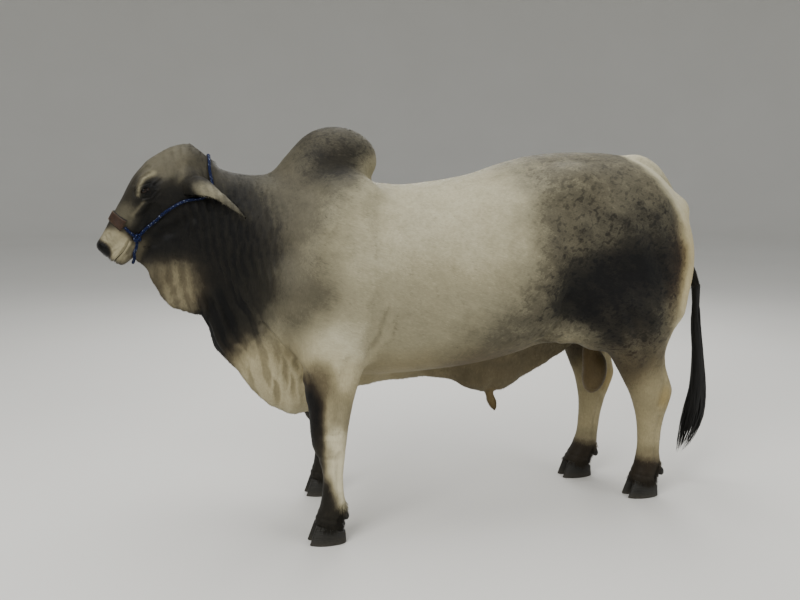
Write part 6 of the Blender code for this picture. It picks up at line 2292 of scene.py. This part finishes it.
@dataclass(frozen=True)
class Leather:
    """Brown vegetable-tanned strap leather, waxed: grain cells of 1.5 mm, darker at its edges."""

    name: str = "brown_strap_leather"
    face: str = "#24150B"
    edge: str = "#090503"

    def make(self) -> Material:
        """Makes the material."""
        p = Palette(self.name, Specular_IOR_Level=0.25)
        edge = p.ramp(p.attribute("edge"), ((0.80, "#000000"), (0.97, "#FFFFFF")))
        patina = p.ramp(p.noise(0.02, 4.0), ((0.30, self.face), (0.52, "#301E11"), (0.75, "#160D06")))
        p.join(p.mix(edge, patina, hex_linear(self.edge)), "Base Color")
        p.join(p.maths("MULTIPLY_ADD", p.noise(0.006, 3.0), 0.25, 0.50), "Roughness")
        p.bump((p.cells(0.0015), 0.35, 0.0005), (p.noise(0.009, 3.0), 0.25, 0.0010))
        return p.material


@dataclass(frozen=True)
class Braid:
    """Blue polypropylene rope, a round braid of 11 mm: eight strands, with a pale fleck yarn in some."""

    name: str = "blue_braided_rope"
    # The colour in the grooves between the strands: painted shade.
    groove_shade: str = "#02040B"
    face: str = "#0A1330"
    fleck: str = "#98A2B4"

    def make(self) -> Material:
        """Makes the material."""
        p = Palette(self.name, Roughness=0.75, Specular_IOR_Level=0.12)
        height = p.attribute("strand")
        # Painted shade: the rope darkens from the strands' crowns into the grooves between them, and the pale
        # flecks fade into the grooves as well.
        base = p.ramp(height, ((0.0, self.groove_shade), (0.45, self.face), (1.0, "#152250")))
        flecks = p.maths("GREATER_THAN", p.noise(1.0, 1.0, p.stretched(30, (0.006, 0.004, 0.012))), 0.64)
        share = p.maths("MULTIPLY", p.maths("MULTIPLY", flecks, 0.7), height)
        p.join(p.mix(share, base, hex_linear(self.fleck)), "Base Color")
        p.bump((p.noise(0.0012, 3.0), 0.5, 0.0006))
        return p.material


@dataclass(frozen=True)
class Thread:
    """Waxed linen stitching, three-ply and pale brown, dull with a fine twist."""

    name: str = "waxed_linen_thread"
    colour: str = "#8A7A5E"

    def make(self) -> Material:
        """Makes the material."""
        p = Palette(self.name, Roughness=0.6)
        p.join(p.ramp(p.noise(0.004, 2.0), ((0.3, "#6A5B43"), (0.7, self.colour))), "Base Color")
        p.bump((p.noise(0.0008, 2.0), 0.5, 0.0003))
        return p.material


@dataclass(frozen=True)
class LongHair:
    """Coarse black tail hair: a long gloss along the strands, a few of them rusty from the sun."""

    name: str = "coarse_black_hair"
    dark: str = "#050505"
    rust: str = "#23180F"

    def make(self) -> Material:
        """Makes the material."""
        p = Palette(self.name, Specular_IOR_Level=0.28)
        strands = p.noise(1.0, 3.0, p.stretched(0, (0.0022, 0.0022, 0.09)))
        p.join(p.ramp(strands, ((0.35, self.dark), (0.62, "#0E0D0B"), (0.80, self.rust))), "Base Color")
        p.join(p.maths("MULTIPLY_ADD", strands, 0.3, 0.42), "Roughness")
        p.bump((strands, 0.6, 0.0012))
        return p.material


@dataclass(frozen=True)
class Floor:
    """A plain pale studio floor, matt paint with a faint cloudiness."""

    name: str = "pale_matt_floor"
    paint: str = "#D3D1CB"

    def make(self) -> Material:
        """Makes the material."""
        p = Palette(self.name, Roughness=0.8, Specular_IOR_Level=0.3)
        p.join(p.ramp(p.noise(1.5, 2.0), ((0.2, "#CFCDC7"), (0.8, self.paint))), "Base Color")
        return p.material


HIDE, TUFTS, EYEBALL, HORN, LEATHER, BRAID, THREAD, HAIR = (
    Hide(), Hide("coat_tufts"), WetEye(), Horn(), Leather(), Braid(), Thread(), LongHair())


class Wardrobe:
    def __init__(self) -> None:
        """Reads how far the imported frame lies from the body's axes, from the boxes of the eyes."""
        self.materials: dict = {}
        boxes = [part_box(f"eye_{word}") for word, _ in SIDES]
        middle = np.mean([np.array(corner) for box in boxes for corner in box], axis=0)
        self.shift = middle - head_point(EYE_PLACE[0], 0.0, EYE_PLACE[2])

    def dress(self, item: Object, finish: object, nodes: Sequence[str] = ()) -> None:
        """Gives a piece its finish and its place, and hides the solids it stands for."""
        if finish not in self.materials:
            self.materials[finish] = finish.make()
        item.data.materials.clear()
        item.data.materials.append(self.materials[finish])
        set_points(item, mesh_points(item) + self.shift)
        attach(item, "root")
        if nodes:
            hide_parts(*nodes)
        triangles = sum(len(polygon.vertices) - 2 for polygon in item.data.polygons)
        LOG.info("%s: %d triangles, %s", item.name, triangles, finish.name)


class Studio:
    """A plain pale floor, soft lights and the camera."""

    LIGHTS: tuple = (
        ("key", (-3.6, -3.6, 4.6), 3.2, 330.0),
        ("fill", (4.2, -4.2, 2.6), 3.6, 120.0),
        ("top", (0.4, 0.6, 5.6), 4.5, 240.0),
        ("back", (1.5, 4.6, 3.2), 3.0, 110.0),
    )
    AIM = (0.0, 0.0, 0.8)
    SKY = "#E4E7EA"
    SKY_STRENGTH = 0.75

    # The floor: a disc in the middle, its flat reach, the bend's radius, the wall's radius and top
    FLOOR = (0.5, 4.0, 14.0, 6.0, 20.0, 15.0)
    FLOOR_DROP = 0.0005

    # The photo's camera beside the bull: place, pitch and yaw in degrees, lens and sensor in mm
    EYE_POINT = (-0.577, -3.413, 1.52)
    PITCH = -9.62
    YAW = -15.16
    LENS = 38.25
    SENSOR = 36.0

    def build(self, shift: Array) -> None:
        """Adds the floor, the lights, the sky and the camera."""
        turn = round_turn(96)
        bend = np.radians(np.linspace(0, 90, 19))
        inner, middle, flat, radius, wall, top = self.FLOOR
        reach = np.concatenate(((inner, middle), flat + radius * np.sin(bend), (wall,)))[:, None]
        rise = np.concatenate(((0.0, 0.0), radius - radius * np.cos(bend), (top,)))[:, None] - self.FLOOR_DROP
        net = Net()
        net.add_rings(Axes.BODY.place(reach * np.cos(turn), reach * np.sin(turn), rise), caps=False)
        net.faces.append(list(range(96)))
        floor = link("floor", net.mesh("floor"))
        if floor.data.polygons[0].normal.z < 0:
            floor.data.flip_normals()
        shade_smooth(floor)
        floor.data.materials.append(Floor().make())
        for name, place, size, power in self.LIGHTS:
            light = bpy.data.lights.new(name, "AREA")
            light.size = size
            light.energy = power
            lamp = link(name, light)
            lamp.location = place
            towards = np.array(self.AIM) - np.array(place)
            yaw = math.atan2(towards[1], towards[0]) - math.pi / 2
            pitch = math.atan2(towards[2], math.hypot(towards[0], towards[1])) + math.pi / 2
            lamp.rotation_euler = (pitch, 0.0, yaw)
        world = bpy.data.worlds.new("sky")
        world.use_nodes = True
        colour, strength = world.node_tree.nodes["Background"].inputs[:2]
        colour.default_value = hex_linear(self.SKY)
        strength.default_value = self.SKY_STRENGTH
        bpy.context.scene.world = world
        lens = bpy.data.cameras.new("camera")
        lens.lens = self.LENS
        lens.sensor_width = self.SENSOR
        camera = link("camera", lens)
        camera.location = np.array(self.EYE_POINT) + (shift[0], shift[1], 0.0)
        camera.rotation_euler = (math.radians(90 + self.PITCH), 0.0, math.radians(self.YAW))
        bpy.context.scene.camera = camera


def main() -> None:
    """Builds the bull's pieces in order."""
    logging.basicConfig(level=logging.INFO, format="%(name)s %(message)s")
    wardrobe = Wardrobe()
    body = Body()
    skin = Skin(body)
    hide = skin.build()
    skin.mark(hide)
    coat = Coat(hide)
    for growth in GROWTHS:
        wardrobe.dress(coat.grow(growth), TUFTS)
    wardrobe.dress(hide, HIDE, skin.nodes)
    for name, side in SIDES:
        wardrobe.dress(Eye(f"eyeball_{name}", side).build(), EYEBALL, (f"eye_{name}",))
    for hoof in FEET.values():
        wardrobe.dress(hoof.build(), HORN, hoof.nodes())
    wardrobe.dress(Switch().build(), HAIR, ("tail_switch",))
    for item, nodes, finish in Halter(body).build():
        wardrobe.dress(item, finish, nodes)
    Studio().build(wardrobe.shift)


if __name__ == "__main__":
    main()
